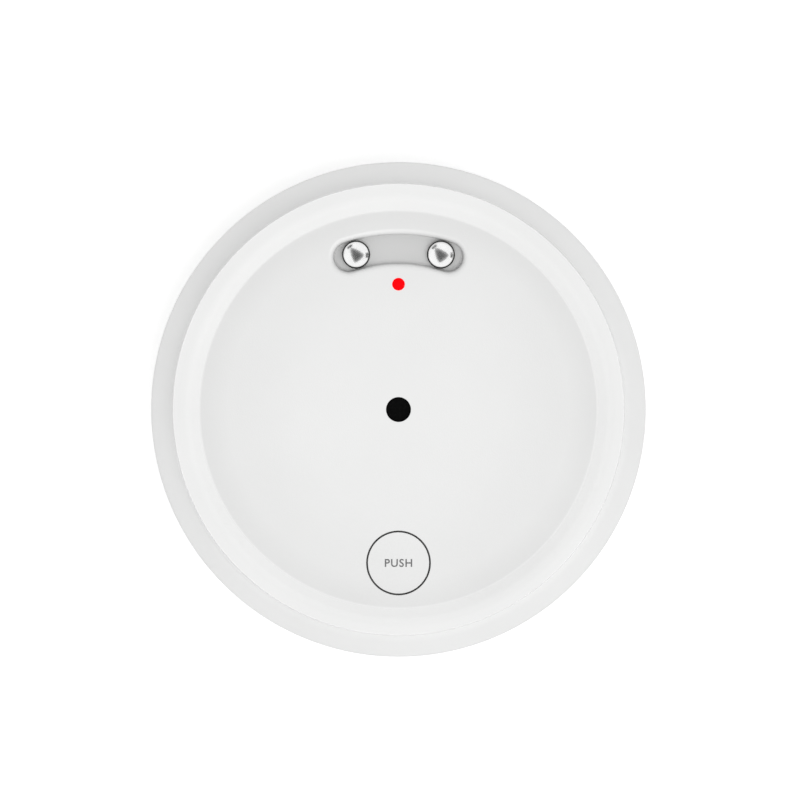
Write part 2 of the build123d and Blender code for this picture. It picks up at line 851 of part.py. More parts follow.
with BuildPart() as light_pipe:
    domed(0, light_y, light_radius, plate_bottom, top_wall, light_dome)
    discs([(0, light_y)], light_flange_radius, plate_bottom - light_flange_height, plate_bottom)
    discs([(0, light_y)], light_radius + light_shaft_step, light_bottom, plate_bottom)
light_pipe.part.label = "light_pipe"
export_step(light_pipe.part, "parts/light_pipe.step")

# Test button: cap, flange that keeps it in, and a stem on the membrane
with BuildPart() as test_button:
    turned(
        [
            (0, dish_height),
            (button_radius, dish_height),
            (button_radius, button_flange_top),
            (button_flange_radius, button_flange_top),
            (button_flange_radius, button_flange_bottom),
            (button_hollow_radius, button_flange_bottom),
            (button_hollow_radius, button_flange_bottom + button_hollow_depth),
            (button_stem_radius, button_flange_bottom + button_hollow_depth),
            (button_stem_radius, pad_top),
            (0, pad_top),
        ],
        [0, button_edge, 0, 0, 0, 0, 0, 0, 0, 0],
        0,
        button_y,
    )
test_button.part.label = "test_button"
export_step(test_button.part, "parts/test_button.step")

# Membrane that keeps water out under the button
with BuildPart() as button_seal:
    turned(
        [
            (0, pad_top),
            (button_stem_radius, pad_top),
            (button_stem_radius, web_top),
            (membrane_rim_bore, web_top),
            (membrane_rim_bore, plate_bottom),
            (membrane_rim_radius, plate_bottom),
            (membrane_rim_radius, web_bottom),
            (button_stem_radius, web_bottom),
            (button_stem_radius, switch_top),
            (0, switch_top),
        ],
        [0, 0, 0, 0, 0, 0, 0, 0, 0, 0],
        0,
        button_y,
    )
button_seal.part.label = "button_seal"
export_step(button_seal.part, "parts/button_seal.step")

# Switch: body with a well, metal cover and plunger
with BuildPart() as tact_switch_body:
    block(0, button_y, switch_side, switch_side, board_top, cover_bottom)
    discs([(0, button_y)], plunger_flange_radius + plunger_gap,
          plunger_bottom - button_travel - plunger_floor_gap, cover_bottom + overrun, Mode.SUBTRACT)
tact_switch_body.part.label = "tact_switch_body"
export_step(tact_switch_body.part, "parts/tact_switch_body.step")

with BuildPart() as tact_switch_cover:
    cover_side = switch_side - 2 * switch_cover_setback
    block(0, button_y, cover_side, cover_side, cover_bottom, cover_bottom + switch_cover_thickness)
    discs([(0, button_y)], plunger_radius + plunger_gap, cover_bottom - overrun,
          cover_bottom + overrun, Mode.SUBTRACT)
tact_switch_cover.part.label = "tact_switch_cover"
export_step(tact_switch_cover.part, "parts/tact_switch_cover.step")

with BuildPart() as tact_switch_plunger:
    discs([(0, button_y)], plunger_radius, plunger_bottom, switch_top)
    discs([(0, button_y)], plunger_flange_radius, plunger_bottom, cover_bottom - plunger_flange_gap)
tact_switch_plunger.part.label = "tact_switch_plunger"
export_step(tact_switch_plunger.part, "parts/tact_switch_plunger.step")

# Battery cells, which point opposite ways
cell_outline = [
    (0, 0),
    (0, cell_nub_radius),
    (cell_nub_length, cell_nub_radius),
    (cell_nub_length, cell_radius),
    (cell_length, cell_radius),
    (cell_length, 0),
]
cell_roundings = [0, edge_break, 0, cell_rounding, cell_rounding, 0]
for place, y, nub_x, direction in (
    ("front", cell_front_y, -contact_face_x, 1),
    ("back", cell_back_y, contact_face_x, -1),
):
    with BuildPart() as battery_cell:
        turned_along_x(nub_x, y, direction, cell_outline, cell_roundings)
    battery_cell.part.label = f"battery_cell_{place}"
    export_step(battery_cell.part, f"parts/battery_cell_{place}.step")

# Springs that press on the flat ends of the cells
spring_outline = [
    (0, spring_foot_radius),
    (spring_length, spring_tip_radius),
    (spring_length, spring_tip_radius - spring_wire),
    (0, spring_foot_radius - spring_wire),
]
with BuildPart() as battery_springs:
    turned_along_x(-contact_face_x, cell_back_y, 1, spring_outline, [0, 0, 0, 0])
    turned_along_x(contact_face_x, cell_front_y, -1, spring_outline, [0, 0, 0, 0])
battery_springs.part.label = "battery_springs"
export_step(battery_springs.part, "parts/battery_springs.step")


def contact_plate(x, y, width):
    """Add an upright plate at the end of the bay."""
    with BuildSketch(Plane((x, y, cell_height), x_dir=(0, 1, 0), z_dir=(1, 0, 0))) as plate:
        RectangleRounded(width, contact_height, contact_corner)
    extrude(plate.sketch, amount=contact_sheet / 2, both=True)


# Contact plates; the two at the left have tabs up through the board
for pole, y in (("positive", cell_front_y), ("negative", cell_back_y)):
    with BuildPart() as battery_contact:
        contact_plate(-tab_x, y, contact_width)
        block(-tab_x, y, contact_sheet, contact_tab_width, cell_height, board_top + contact_tab_rise)
    battery_contact.part.label = f"battery_{pole}_contact"
    export_step(battery_contact.part, f"parts/battery_{pole}_contact.step")

with BuildPart() as battery_link_contact:
    contact_plate(tab_x, bay_offset, cell_pitch + contact_width)
battery_link_contact.part.label = "battery_link_contact"
export_step(battery_link_contact.part, "parts/battery_link_contact.step")

# Battery door, level with the underside
with BuildPart() as battery_door:
    rounded_block(bay_offset, door_length, door_width, door_corner, stand_off, door_inner)
    door_rim = battery_door.faces().sort_by(Axis.Z)[0].edges()
    chamfer(door_rim, door_edge_break)
    discs(door_screw_points.values(), door_boss_radius, door_inner, door_ledge)
    discs(door_screw_points.values(), neck_radius + neck_gap, stand_off, door_ledge + overrun,
          Mode.SUBTRACT)
    discs(door_screw_points.values(), door_screw_head_radius + door_head_gap, stand_off - overrun,
          stand_off + door_head_recess, Mode.SUBTRACT)
battery_door.part.label = "battery_door"
export_step(battery_door.part, "parts/battery_door.step")

# Rubber seal round the mouth of the bay
with BuildPart() as battery_door_seal:
    rounded_block(bay_offset, bay_length + 2 * seal_reach, bay_width + 2 * seal_reach,
                  bay_rounding + seal_reach, door_inner, door_ledge)
    rounded_block(bay_offset, bay_length + 2 * door_seal_inset, bay_width + 2 * door_seal_inset,
                  bay_rounding + door_seal_inset, door_inner - overrun, door_ledge + overrun,
                  Mode.SUBTRACT)
battery_door_seal.part.label = "battery_door_seal"
export_step(battery_door_seal.part, "parts/battery_door_seal.step")

# Captive screws: the thread is wider than the hole in the door
door_head_seat = stand_off + door_head_recess
door_thread_bottom = door_ledge + neck_rise
for side, (x, y) in door_screw_points.items():
    with BuildPart() as door_screw:
        discs([(x, y)], door_screw_head_radius, door_head_seat - door_screw_head_height, door_head_seat)
        discs([(x, y)], neck_radius, door_head_seat, door_thread_bottom)
        discs([(x, y)], door_thread_radius, door_thread_bottom, door_ledge + door_thread_length)
        cross_recess([(x, y)], door_head_seat - door_screw_head_height, recess_depth)
    door_screw.part.label = f"door_screw_{side}"
    export_step(door_screw.part, f"parts/door_screw_{side}.step")
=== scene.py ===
import math

import bmesh
import bpy
from mathutils import Matrix, Vector


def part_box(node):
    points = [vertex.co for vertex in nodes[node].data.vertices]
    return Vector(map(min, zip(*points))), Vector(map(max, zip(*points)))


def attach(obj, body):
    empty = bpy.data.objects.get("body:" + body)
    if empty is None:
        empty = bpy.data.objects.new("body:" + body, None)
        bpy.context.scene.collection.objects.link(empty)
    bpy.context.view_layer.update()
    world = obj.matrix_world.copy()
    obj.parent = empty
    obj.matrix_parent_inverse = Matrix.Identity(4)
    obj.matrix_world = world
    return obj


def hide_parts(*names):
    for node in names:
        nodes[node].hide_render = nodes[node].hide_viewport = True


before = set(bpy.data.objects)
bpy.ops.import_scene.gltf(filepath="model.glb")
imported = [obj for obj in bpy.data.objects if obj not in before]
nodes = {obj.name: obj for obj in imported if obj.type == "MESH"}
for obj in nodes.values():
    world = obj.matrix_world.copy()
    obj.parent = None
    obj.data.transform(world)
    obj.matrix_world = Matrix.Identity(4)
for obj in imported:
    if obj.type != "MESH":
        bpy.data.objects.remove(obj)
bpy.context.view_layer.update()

MM = 0.001

# Sizes in millimetres and degrees: R is a radius, Z and TOP are heights, X and Y are places

# Housings
BODY_R, BODY_BORE = 40.0, 37.8
COLLAR_R, COLLAR_BORE = 36.5, 34.3
RIM_INNER_R, DISH_R = 34.2, 32.08
RIM_Z, DISH_Z, PLATE_Z, RING_TOP = 26.0, 24.4, 22.6, 22.9
SHOULDER_FOOT, SHOULDER_TOP = 19.0, 22.6
INSIDE_FOOT, INSIDE_TOP = 18.4, 22.0
SKIRT_Z, SEAM_Z, TONGUE_Z, REBATE_Z = 8.3, 8.0, 9.4, 10.2
REBATE_R, TONGUE_R = 38.9, 38.7
BASE_Z, BASE_TOP = 1.0, 3.0

# Groove, probes and feet
GROOVE_R, GROOVE_HALF, GROOVE_ENDS, GROOVE_FLOOR = 25.88, 2.4, 18.1, 22.0
PAD_HALF, PAD_Z, PAD_TOP = 3.8, 20.5, 23.5
HEAD_R, HEAD_RISE, HEAD_EDGE_Z, SHANK_R = 2.25, 1.1, 23.7, 1.25
TOP_PROBE_Z, TOP_PROBE_FOOT = 25.0, 18.7
PROBE_HOLE_R, SEAL_SEAT_R, SEAL_SEAT_Z = 1.3, 1.95, 21.4
FOOT_R, FOOT_TOP, FOOT_SEAT_R, FOOT_SEAT_TOP = 2.5, 8.0, 2.1, 1.8
FOOT_BOSS_R, FOOT_BOSS_TOP = 3.35, 4.0
TOP_PROBES = {"left": (-6.829, 24.963), "right": (6.829, 24.963)}
FEET = {"back": (0.0, 26.5), "left": (-19.693, -17.732), "right": (19.693, -17.732)}

# Button, light and sound hole; the button's bore is drawn a little narrower than the solid's
BUTTON_Y, BUTTON_R, BUTTON_BORE = -24.702, 5.004, 5.2
FLANGE_R, FLANGE_Z, FLANGE_TOP = 6.344, 21.8, 22.5
HOLLOW_R, HOLLOW_TOP, STEM_R, STEM_Z = 3.504, 22.7, 2.2, 21.5
LIGHT_Y, LIGHT_R, LIGHT_TOP, LIGHT_SEAT_R, LIGHT_SEAT_Z = 20.18, 1.0, 24.55, 1.95, 20.0
LIGHT_FOOT_R, LIGHT_FOOT_Z, LIGHT_FLANGE_R, LIGHT_FLANGE_Z = 1.3, 18.3, 1.8, 21.9
SOUND_R = 2.0

# Rings under the top: bore, outside and foot
BUTTON_RING, BUZZER_RING, LIGHT_RING = (8.244, 9.144, 21.3), (10.762, 11.662, 21.1), (1.2, 2.75, 20.6)

# Housing screws and their pillars; every thread has this pitch and ridge
SCREWS = [(20.378, 26.083), (-20.378, 26.083), (-20.378, -26.083), (20.378, -26.083)]
SCREW_BOSS_R, SCREW_BOSS_TOP, SCREW_BORE_R, SCREW_BORE_TOP = 2.8, 23.0, 1.12, 16.6
PILLAR_R, PILLAR_TOP, POCKET_R, POCKET_TOP, SCREW_HOLE_R = 3.2, 8.6, 2.3, 6.6, 1.25
PITCH, RIDGE = 0.8, 0.17

# Battery bay with rests for the board, door, and posts for its screws; a tuple is length, width and
# corner in plan
BAY_Y, BAY_Z, BAY_TOP, WALL_TOP = 3.0, 2.4, 13.9, 15.0
BAY, BAY_WALLS = (50.5, 22.5, 0.8), (53.3, 25.3, 2.2)
TAB_SLOT, TAB_X = (0.9, 2.5, 0.1), -25.05
REST_R, REST_Z, REST_TOP, REST_X, REST_Y = 1.2, 14.6, 16.0, 17, 8
DOOR_PLATE, DOOR_RECESS, DOOR_FRAME = (64.26, 27.5, 6.0), (64.86, 28.1, 6.3), (67.46, 30.7, 7.6)
DOOR_TOP, RECESS_TOP, FRAME_TOP = 2.6, 3.4, 4.8
DOOR_SCREWS = {"left": (-29.13, 3.0), "right": (29.13, 3.0)}
DOOR_BOSS_R, DOOR_NECK_R, DOOR_SEAT_R, DOOR_SEAT_TOP = 1.88, 0.98, 2.5, 2.0
POST_R, POST_Z, POST_TOP, POST_BORE_R, POST_BORE_TOP = 2.55, 4.5, 9.9, 1.13, 9.4

# Cells; a row has its place across and the side of its plus end
CELL_Z, CELL_R, CELL_LENGTH, CELL_END_X = 8.35, 5.25, 44.5, 24.85
CAN_R, LAP_R = 5.0, 4.2
CELL_ROWS = {"front": (-2.65, -1), "back": (8.65, 1)}
SPRING_WIRE_R = 0.3


# Node tools


def feed(tree, socket, value):
    """Link a socket to another one, or set its own value."""
    if isinstance(value, bpy.types.NodeSocket):
        tree.links.new(value, socket)
    else:
        socket.default_value = value


def maths(tree, operation, first, second):
    node = tree.nodes.new("ShaderNodeMath")
    node.operation = operation
    feed(tree, node.inputs[0], first)
    feed(tree, node.inputs[1], second)
    return node.outputs[0]


# Node materials


class Finish:
    """A node material under construction, with short ways to add and join its nodes."""

    def __init__(self, name, **sockets):
        self.material = bpy.data.materials.new(name)
        self.material.use_nodes = True
        self.tree = self.material.node_tree
        self.shader = self.tree.nodes["Principled BSDF"]
        for socket, value in sockets.items():
            self.shader.inputs[socket.replace("_", " ")].default_value = value
        self.place = self.add("ShaderNodeTexCoord").outputs["Object"]

    def add(self, kind, **settings):
        """Add a node; settings are its properties, or its inputs where it has no such property."""
        node = self.tree.nodes.new(kind)
        for key, value in settings.items():
            if hasattr(node, key):
                setattr(node, key, value)
            else:
                feed(self.tree, node.inputs[key.replace("_", " ")], value)
        return node

    def centred(self, centre):
        """Object coordinates counted from a point."""
        turn = self.add("ShaderNodeMapping", Vector=self.place)
        turn.inputs["Location"].default_value = tuple(-c for c in centre)
        return turn.outputs["Vector"]

    def noise(self, size, detail, roughness=0.5):
        """Cloudy noise whose spots are about this many millimetres across."""
        node = self.add("ShaderNodeTexNoise", Vector=self.place, Scale=1 / (size * MM), Detail=detail,
                        Roughness=roughness)
        return node.outputs["Fac"]

    def grains(self, size):
        """Distance in a pattern of grains about this many millimetres across."""
        node = self.add("ShaderNodeTexVoronoi", Vector=self.place, Scale=1 / (size * MM))
        return node.outputs["Distance"]

    def waves(self, pitch, kind, direction, distortion=0.0, detail=1.0, where=None):
        """Straight or ring waves this many millimetres apart."""
        node = self.add("ShaderNodeTexWave", wave_type=kind, Vector=where or self.place,
                        Scale=2 * math.pi / (20 * pitch * MM), Distortion=distortion, Detail=detail)
        if kind == "BANDS":
            node.bands_direction = direction
        else:
            node.rings_direction = direction
        return node.outputs["Fac"]

    def span(self, value, low, high, low_out, high_out):
        """Spread a value's range over another range."""
        node = self.add("ShaderNodeMapRange", Value=value)
        bounds = {"From Min": low, "From Max": high, "To Min": low_out, "To Max": high_out}
        for socket, number in bounds.items():
            node.inputs[socket].default_value = number
        return node.outputs["Result"]

    def rise(self, length, low, high, least=0.0):
        """From least up to one while a length goes from low to high, in millimetres."""
        return self.span(length, low * MM, high * MM, least, 1.0)

    def fall(self, length, low, high, least=0.0):
        """From one down to least while a length goes from low to high, in millimetres."""
        return self.span(length, low * MM, high * MM, 1.0, least)

    def ramp(self, value, *stops):
        """Colours along a value, each stop a place and a colour."""
        node = self.add("ShaderNodeValToRGB", Fac=value)
        band = node.color_ramp.elements
        while len(band) < len(stops):
            band.new(1.0)
        for element, (place, colour) in zip(band, stops):
            element.position = place
            element.color = (*colour, 1)
        return node.outputs["Color"]

    def times(self, first, second):
        return maths(self.tree, "MULTIPLY", first, second)

    def height(self):
        return self.add("ShaderNodeSeparateXYZ", Vector=self.place).outputs["Z"]

    def mixed(self, factor, first, second, blend="MIX"):
        node = self.add("ShaderNodeMix", data_type="RGBA", blend_type=blend)
        feed(self.tree, node.inputs[0], factor)
        feed(self.tree, node.inputs[6], first)
        feed(self.tree, node.inputs[7], second)
        return node.outputs[2]

    def distance(self, where=None):
        """Distance from the upright axis through the origin, or through another centre."""
        flat = self.add("ShaderNodeVectorMath", operation="MULTIPLY")
        feed(self.tree, flat.inputs[0], where or self.place)
        flat.inputs[1].default_value = (1, 1, 0)
        length = self.add("ShaderNodeVectorMath", operation="LENGTH")
        feed(self.tree, length.inputs[0], flat.outputs[0])
        return length.outputs["Value"]

    def bump(self, height, depth, strength, under=None):
        """Relief this many millimetres deep, on top of another one."""
        node = self.add("ShaderNodeBump", Height=height, Strength=strength, Distance=depth * MM)
        if under is not None:
            feed(self.tree, node.inputs["Normal"], under)
        return node.outputs["Normal"]

    def give(self, **sockets):
        """Feed the shader's sockets and hand over the material."""
        for socket, value in sockets.items():
            feed(self.tree, self.shader.inputs[socket.replace("_", " ")], value)
        return self.material


def grey(level):
    return (level, level, level)


def painted_top_shading(finish):
    """Painted light and shade on the top: painted shade greying the edge of the dish, down in the groove
    and in the button's gap, and a painted highlight along the groove's outer lip, most of all at its left."""
    past_groove, button_edge = (30, 31), (5.5, 5.6)
    radius, height = finish.distance(), finish.height()
    # Painted shade and a painted highlight by radius over the dish, the rim and the shoulder
    stops = [(r / BODY_R, grey(tone)) for r, tone in PAINTED_TOP_TONES]
    dish = finish.ramp(finish.rise(radius, 0, BODY_R), *stops)
    # Painted shade down in the groove, only inside the radius past it
    groove_painted_shade = finish.rise(height, GROOVE_FLOOR + 0.3, DISH_Z - 0.3, PAINTED_GROOVE_SHADE)
    level = maths(finish.tree, "MAXIMUM", groove_painted_shade, finish.rise(radius, *past_groove))
    tone = finish.mixed(1.0, dish, level, "MULTIPLY")
    # Painted highlight along the groove's outer lip, whiter at its left
    lip = finish.times(finish.rise(height, DISH_Z - 0.95, DISH_Z - 0.6),
                       finish.fall(height, DISH_Z - 0.05, DISH_Z - 0.005))
    outer = finish.times(finish.rise(radius, GROOVE_R, 28), finish.fall(radius, *past_groove))
    across = finish.add("ShaderNodeSeparateXYZ", Vector=finish.place).outputs["X"]
    outer = finish.times(outer, finish.fall(across, -6, 12, 0.25))
    tone = finish.mixed(finish.times(lip, outer), tone, (*grey(1), 1))
    # Painted shade in the button's gap
    from_button = finish.distance(finish.centred((0, BUTTON_Y * MM, 0)))
    gap = finish.times(finish.fall(height, DISH_Z - 0.35, DISH_Z - 0.18),
                       finish.fall(from_button, *button_edge))
    return finish.mixed(gap, tone, (*grey(PAINTED_GAP_SHADE), 1))


def moulded_plastic(name, light, dark, grain=0.22, depth=0.012, shade=None):
    """Satin plastic with spark-eroded grain, faint clouds in its colour and a few rubbed spots."""
    finish = Finish(name, IOR=1.46)
    clouds = finish.noise(16.0, detail=3.0)
    specks = finish.noise(0.9, detail=4.0, roughness=0.7)
    tone = finish.ramp(clouds, (0.3, dark), (0.7, light))
    dust = finish.span(specks, 0.66, 0.78, 0.0, 0.05)
    tone = finish.mixed(dust, tone, (*[0.72 * c for c in dark], 1))
    # Painted light and shade, where the piece is given one, multiplied into the colour
    if shade:
        tone = finish.mixed(1.0, tone, shade(finish), "MULTIPLY")
    rubbed = finish.noise(7.0, detail=5.0, roughness=0.65)
    sheen = finish.span(rubbed, 0.35, 0.7, 0.50, 0.40)
    relief = finish.bump(finish.grains(grain), depth, 0.55)
    relief = finish.bump(finish.noise(5.0, detail=1.0), 0.02, 0.25, relief)
    return finish.give(Base_Color=tone, Roughness=sheen, Normal=relief)


def turned_metal(name, colour, dark, centre, edge=None, depth=0.0015, smooth=0.06, rough=0.16):
    """Bright metal with fine marks left by turning it on a lathe, and a painted dark ring of shade at its
    rim if an edge is given.
    """
    finish = Finish(name, Metallic=1.0)
    here = finish.centred(centre)
    marks = finish.waves(0.09, "RINGS", "Z", distortion=0.8, where=here)
    stains = finish.noise(1.6, detail=5.0, roughness=0.6)
    tone = finish.ramp(stains, (0.35, dark), (0.65, colour))
    # Painted shade: a dark ring at the head's rim, above the edge height
    if edge:
        ring = finish.times(finish.rise(finish.distance(here), edge, edge + 0.08),
                            finish.rise(finish.height(), HEAD_EDGE_Z, HEAD_EDGE_Z + 0.05))
        tone = finish.mixed(ring, tone, (*grey(PAINTED_EDGE_SHADE), 1))
    worn = finish.noise(0.45, detail=4.0, roughness=0.7)
    relief = finish.bump(marks, depth, 0.5)
    relief = finish.bump(worn, 0.003, 0.2, relief)
    sheen = finish.span(worn, 0.3, 0.75, smooth, rough)
    return finish.give(Base_Color=tone, Roughness=sheen, Normal=relief)


def sheet_metal(name, colour, dark, direction="Z"):
    """Plated sheet with straight rolling marks and faint stains."""
    finish = Finish(name, Metallic=1.0)
    marks = finish.waves(0.12, "BANDS", direction, distortion=3.0, detail=3.0)
    stains = finish.noise(3.0, detail=5.0, roughness=0.6)
    tone = finish.ramp(stains, (0.3, dark), (0.7, colour))
    worn = finish.noise(0.6, detail=4.0)
    return finish.give(Base_Color=tone, Roughness=finish.span(worn, 0.3, 0.7, 0.18, 0.34),
                       Normal=finish.bump(marks, 0.003, 0.6))


def soft_rubber(name, colour, dark):
    """Matt rubber with a dusty bloom and a fine moulded skin."""
    finish = Finish(name, IOR=1.5)
    bloom = finish.noise(2.4, detail=5.0, roughness=0.6)
    tone = finish.ramp(bloom, (0.35, dark), (0.7, colour))
    skin = finish.noise(0.12, detail=3.0)
    return finish.give(Base_Color=tone, Roughness=finish.span(bloom, 0.3, 0.7, 0.55, 0.75),
                       Normal=finish.bump(skin, 0.012, 0.6))


def woven_membrane(name):
    """Black sound membrane, a tight weave of very fine threads; its black is deepened to near nothing as
    painted shade down the sound hole.
    """
    finish = Finish(name, IOR=1.45, Specular_IOR_Level=0.15)
    warp = finish.waves(0.22, "BANDS", "X")
    weft = finish.waves(0.22, "BANDS", "Y")
    weave = maths(finish.tree, "MAXIMUM", warp, weft)
    fuzz = finish.noise(0.5, detail=4.0)
    # Near-black threads: the membrane's own black, deepened as painted shade down the sound hole
    tone = finish.ramp(weave, (0.2, grey(0.001)), (0.9, grey(0.004)))
    return finish.give(Base_Color=tone, Roughness=finish.span(fuzz, 0.3, 0.7, 0.75, 0.95),
                       Normal=finish.bump(weave, 0.02, 0.5))


def red_window(name, centre):
    """Red lens with the lamp lit under it, a little brighter in the middle."""
    finish = Finish(name, IOR=1.49, Emission_Strength=0.55, Specular_IOR_Level=0.05)
    away = finish.rise(finish.distance(finish.centred(centre)), 0, 1.1 * LIGHT_R)
    glow = finish.ramp(away, (0.0, (1.0, 0.002, 0.008)), (1.0, (0.86, 0.0, 0.004)))
    haze = finish.noise(0.25, detail=3.0)
    tone = finish.ramp(haze, (0.3, (0.78, 0.0, 0.0)), (0.7, (0.86, 0.001, 0.001)))
    return finish.give(Base_Color=tone, Emission_Color=glow,
                       Roughness=finish.span(haze, 0.3, 0.7, 0.22, 0.32),
                       Normal=finish.bump(haze, 0.004, 0.4))


def board_mask(name, mask, under):
    """Solder mask over copper tracks, with glassy lacquer."""
    finish = Finish(name, IOR=1.52, Coat_Weight=0.4, Coat_Roughness=0.12)
    track = finish.add("ShaderNodeTexBrick", Vector=finish.place, Scale=1 / (7.0 * MM),
                       Mortar_Size=0.06, Brick_Width=0.9, Row_Height=0.34, Mortar_Smooth=0.1)
    lines = track.outputs["Fac"]
    wander = finish.noise(2.5, detail=2.0)
    tone = finish.mixed(lines, (*under, 1), (*mask, 1))
    shaded = (*[0.6 * c for c in under], 1)
    tone = finish.mixed(finish.span(wander, 0.4, 0.6, 0.0, 0.25), tone, shaded)
    return finish.give(Base_Color=tone, Roughness=finish.span(wander, 0.3, 0.7, 0.28, 0.42),
                       Normal=finish.bump(lines, 0.03, 0.7))


def cell_sleeve(name, plus_x, side):
    """Shrunk sleeve of a battery cell, dark with a pale band near its plus end."""
    band_start, band_end, soft = 5.9, 13.0, 0.1
    finish = Finish(name, IOR=1.5, Coat_Weight=0.5, Coat_Roughness=0.15)
    creases = finish.noise(1.4, detail=5.0, roughness=0.55)
    tone = finish.ramp(creases, (0.3, (0.028, 0.060, 0.105)), (0.7, (0.035, 0.075, 0.130)))
    along = finish.add("ShaderNodeSeparateXYZ", Vector=finish.centred((plus_x * MM, 0, 0))).outputs["X"]
    inward = finish.times(along, -side)
    band = finish.times(finish.rise(inward, band_start, band_start + soft),
                        finish.fall(inward, band_end, band_end + soft))
    tone = finish.mixed(band, tone, (0.55, 0.53, 0.46, 1))
    return finish.give(Base_Color=tone, Roughness=finish.span(creases, 0.3, 0.7, 0.26, 0.40),
                       Normal=finish.bump(creases, 0.02, 0.3))


def printed_ink(name, colour):
    """Pad-printed ink, thin and slightly uneven."""
    finish = Finish(name, IOR=1.45)
    patch = finish.noise(0.35, detail=4.0, roughness=0.7)
    tone = finish.ramp(patch, (0.3, [0.9 * c for c in colour]), (0.7, [1.1 * c for c in colour]))
    return finish.give(Base_Color=tone, Roughness=finish.span(patch, 0.3, 0.7, 0.45, 0.6),
                       Normal=finish.bump(patch, 0.004, 0.4))


# Radii on the top, in millimetres, and the painted light and shade multiplied into the plastic's colour
# there: below one is painted shade, above one a painted highlight
PAINTED_TOP_TONES = [(0.0, 0.962), (16.2, 0.944), (24.2, 0.916), (27.5, 0.907), (30.7, 0.863), (31.8, 0.852),
              (32.15, 1.0), (33.6, 1.0), (34.6, 0.962), (36.1, 0.967), (36.25, 1.06), (36.5, 1.06),
              (36.6, 0.97), (37.6, 0.937)]
# Painted shade down in the groove and in the button's gap, and the painted dark ring of shade at the top
# probes' rim
PAINTED_GROOVE_SHADE, PAINTED_GAP_SHADE, PAINTED_EDGE_SHADE = 0.80, 0.35, 0.04
WHITE_TOP = (0.894, 0.896, 0.892)
WHITE_TOP_SHADE = (0.874, 0.876, 0.872)
WHITE = (0.86, 0.862, 0.858)
WHITE_SHADE = (0.84, 0.842, 0.838)
STEEL = (0.82, 0.82, 0.81)
STEEL_SHADE = (0.75, 0.75, 0.74)


def middle(node):
    low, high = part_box(node)
    return (low + high) / 2


finishes = {
    "white_case": moulded_plastic("case_plastic", WHITE, WHITE_SHADE),
    # The cover and the button carry painted light and shade on their top
    "upper_housing": moulded_plastic("cover_plastic", WHITE_TOP, WHITE_TOP_SHADE, shade=painted_top_shading),
    "white_button": moulded_plastic("button_plastic", WHITE_TOP, WHITE_TOP_SHADE, grain=0.18,
                                    shade=painted_top_shading),
    "red_light_pipe": red_window("light_pipe_red", (*middle("light_pipe").xy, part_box("light_pipe")[1].z)),
    "black_membrane": woven_membrane("membrane_black"),
    "seal_rubber": soft_rubber("seal_rubber", grey(0.055), grey(0.03)),
    "screw_steel": sheet_metal("screw_zinc", (0.62, 0.62, 0.60), (0.45, 0.45, 0.44), direction="X"),
    "brass_metal": sheet_metal("post_brass", (0.72, 0.52, 0.22), (0.55, 0.38, 0.14)),
    "contact_metal": sheet_metal("contact_nickel", (0.74, 0.72, 0.68), (0.58, 0.56, 0.52), direction="Y"),
    "green_board": board_mask("board_green", (0.012, 0.10, 0.035), (0.03, 0.17, 0.06)),
    "black_plastic": moulded_plastic("chip_black", grey(0.022), grey(0.014), grain=0.12, depth=0.006),
    "capacitor_can": sheet_metal("capacitor_aluminium", (0.78, 0.78, 0.78), (0.64, 0.64, 0.64)),
    "led_package": moulded_plastic("led_white", (0.80, 0.78, 0.70), (0.74, 0.72, 0.62), grain=0.1,
                                   depth=0.004),
}
for place, (y, side) in CELL_ROWS.items():
    finishes[f"battery_cell_{place}"] = cell_sleeve(f"cell_sleeve_{place}", side * CELL_END_X, side)
for side in TOP_PROBES:
    probe = f"top_probe_{side}"
    # Polished heads with a painted dark ring of shade at their rim
    finishes[probe] = turned_metal(f"{probe}_steel", grey(0.97), grey(0.90), (*middle(probe).xy, 0),
                                   edge=0.885 * HEAD_R, depth=0.0005, smooth=0.19, rough=0.25)
for place in FEET:
    probe = f"bottom_probe_{place}"
    finishes[probe] = turned_metal(f"{probe}_steel", STEEL, STEEL_SHADE, (*middle(probe).xy, 0))

for name, obj in nodes.items():
    slot = obj.data.materials[0].name if obj.data.materials else "white_case"
    obj.material_slots[0].link = "OBJECT"
    obj.material_slots[0].material = finishes.get(name) or finishes[slot]


# Mesh tools; their lengths are in millimetres


def linked(name, data):
    """A new object in the scene, at the origin."""
    obj = bpy.data.objects.new(name, data)
    bpy.context.scene.collection.objects.link(obj)
    return obj


def from_bmesh(name, bm):
    """Merge a mesh's doubles, point its faces outwards and link it, scaled to metres."""
    bmesh.ops.remove_doubles(bm, verts=bm.verts, dist=1e-5)
    bmesh.ops.recalc_face_normals(bm, faces=bm.faces)
    if bm.calc_volume(signed=True) < 0:
        bmesh.ops.reverse_faces(bm, faces=bm.faces)
    bmesh.ops.scale(bm, vec=(MM, MM, MM), verts=bm.verts)
    mesh = bpy.data.meshes.new(name)
    bm.to_mesh(mesh)
    bm.free()
    return linked(name, mesh)


def rounded(corners, step=8.0):
    """A closed outline; a corner's third number is its rounding, drawn in steps of some degrees."""
    points = []
    places = [Vector(corner[:2]) for corner in corners]
    for index, (here, corner) in enumerate(zip(places, corners)):
        if len(corner) == 2:
            points.append((here.x, here.y))
            continue
        before = (places[index - 1] - here).normalized()
        after = (places[(index + 1) % len(places)] - here).normalized()
        opening, radius = before.angle(after), corner[2]
        centre = here + (before + after).normalized() * radius / math.sin(opening / 2)
        start = here + before * radius / math.tan(opening / 2) - centre
        turn = math.pi - opening
        if start.x * after.y - start.y * after.x < 0:
            turn = -turn
        count = max(3, round(abs(math.degrees(turn)) / step))
        for k in range(count + 1):
            point = centre + Matrix.Rotation(turn * k / count, 2) @ start
            points.append((point.x, point.y))
    return points


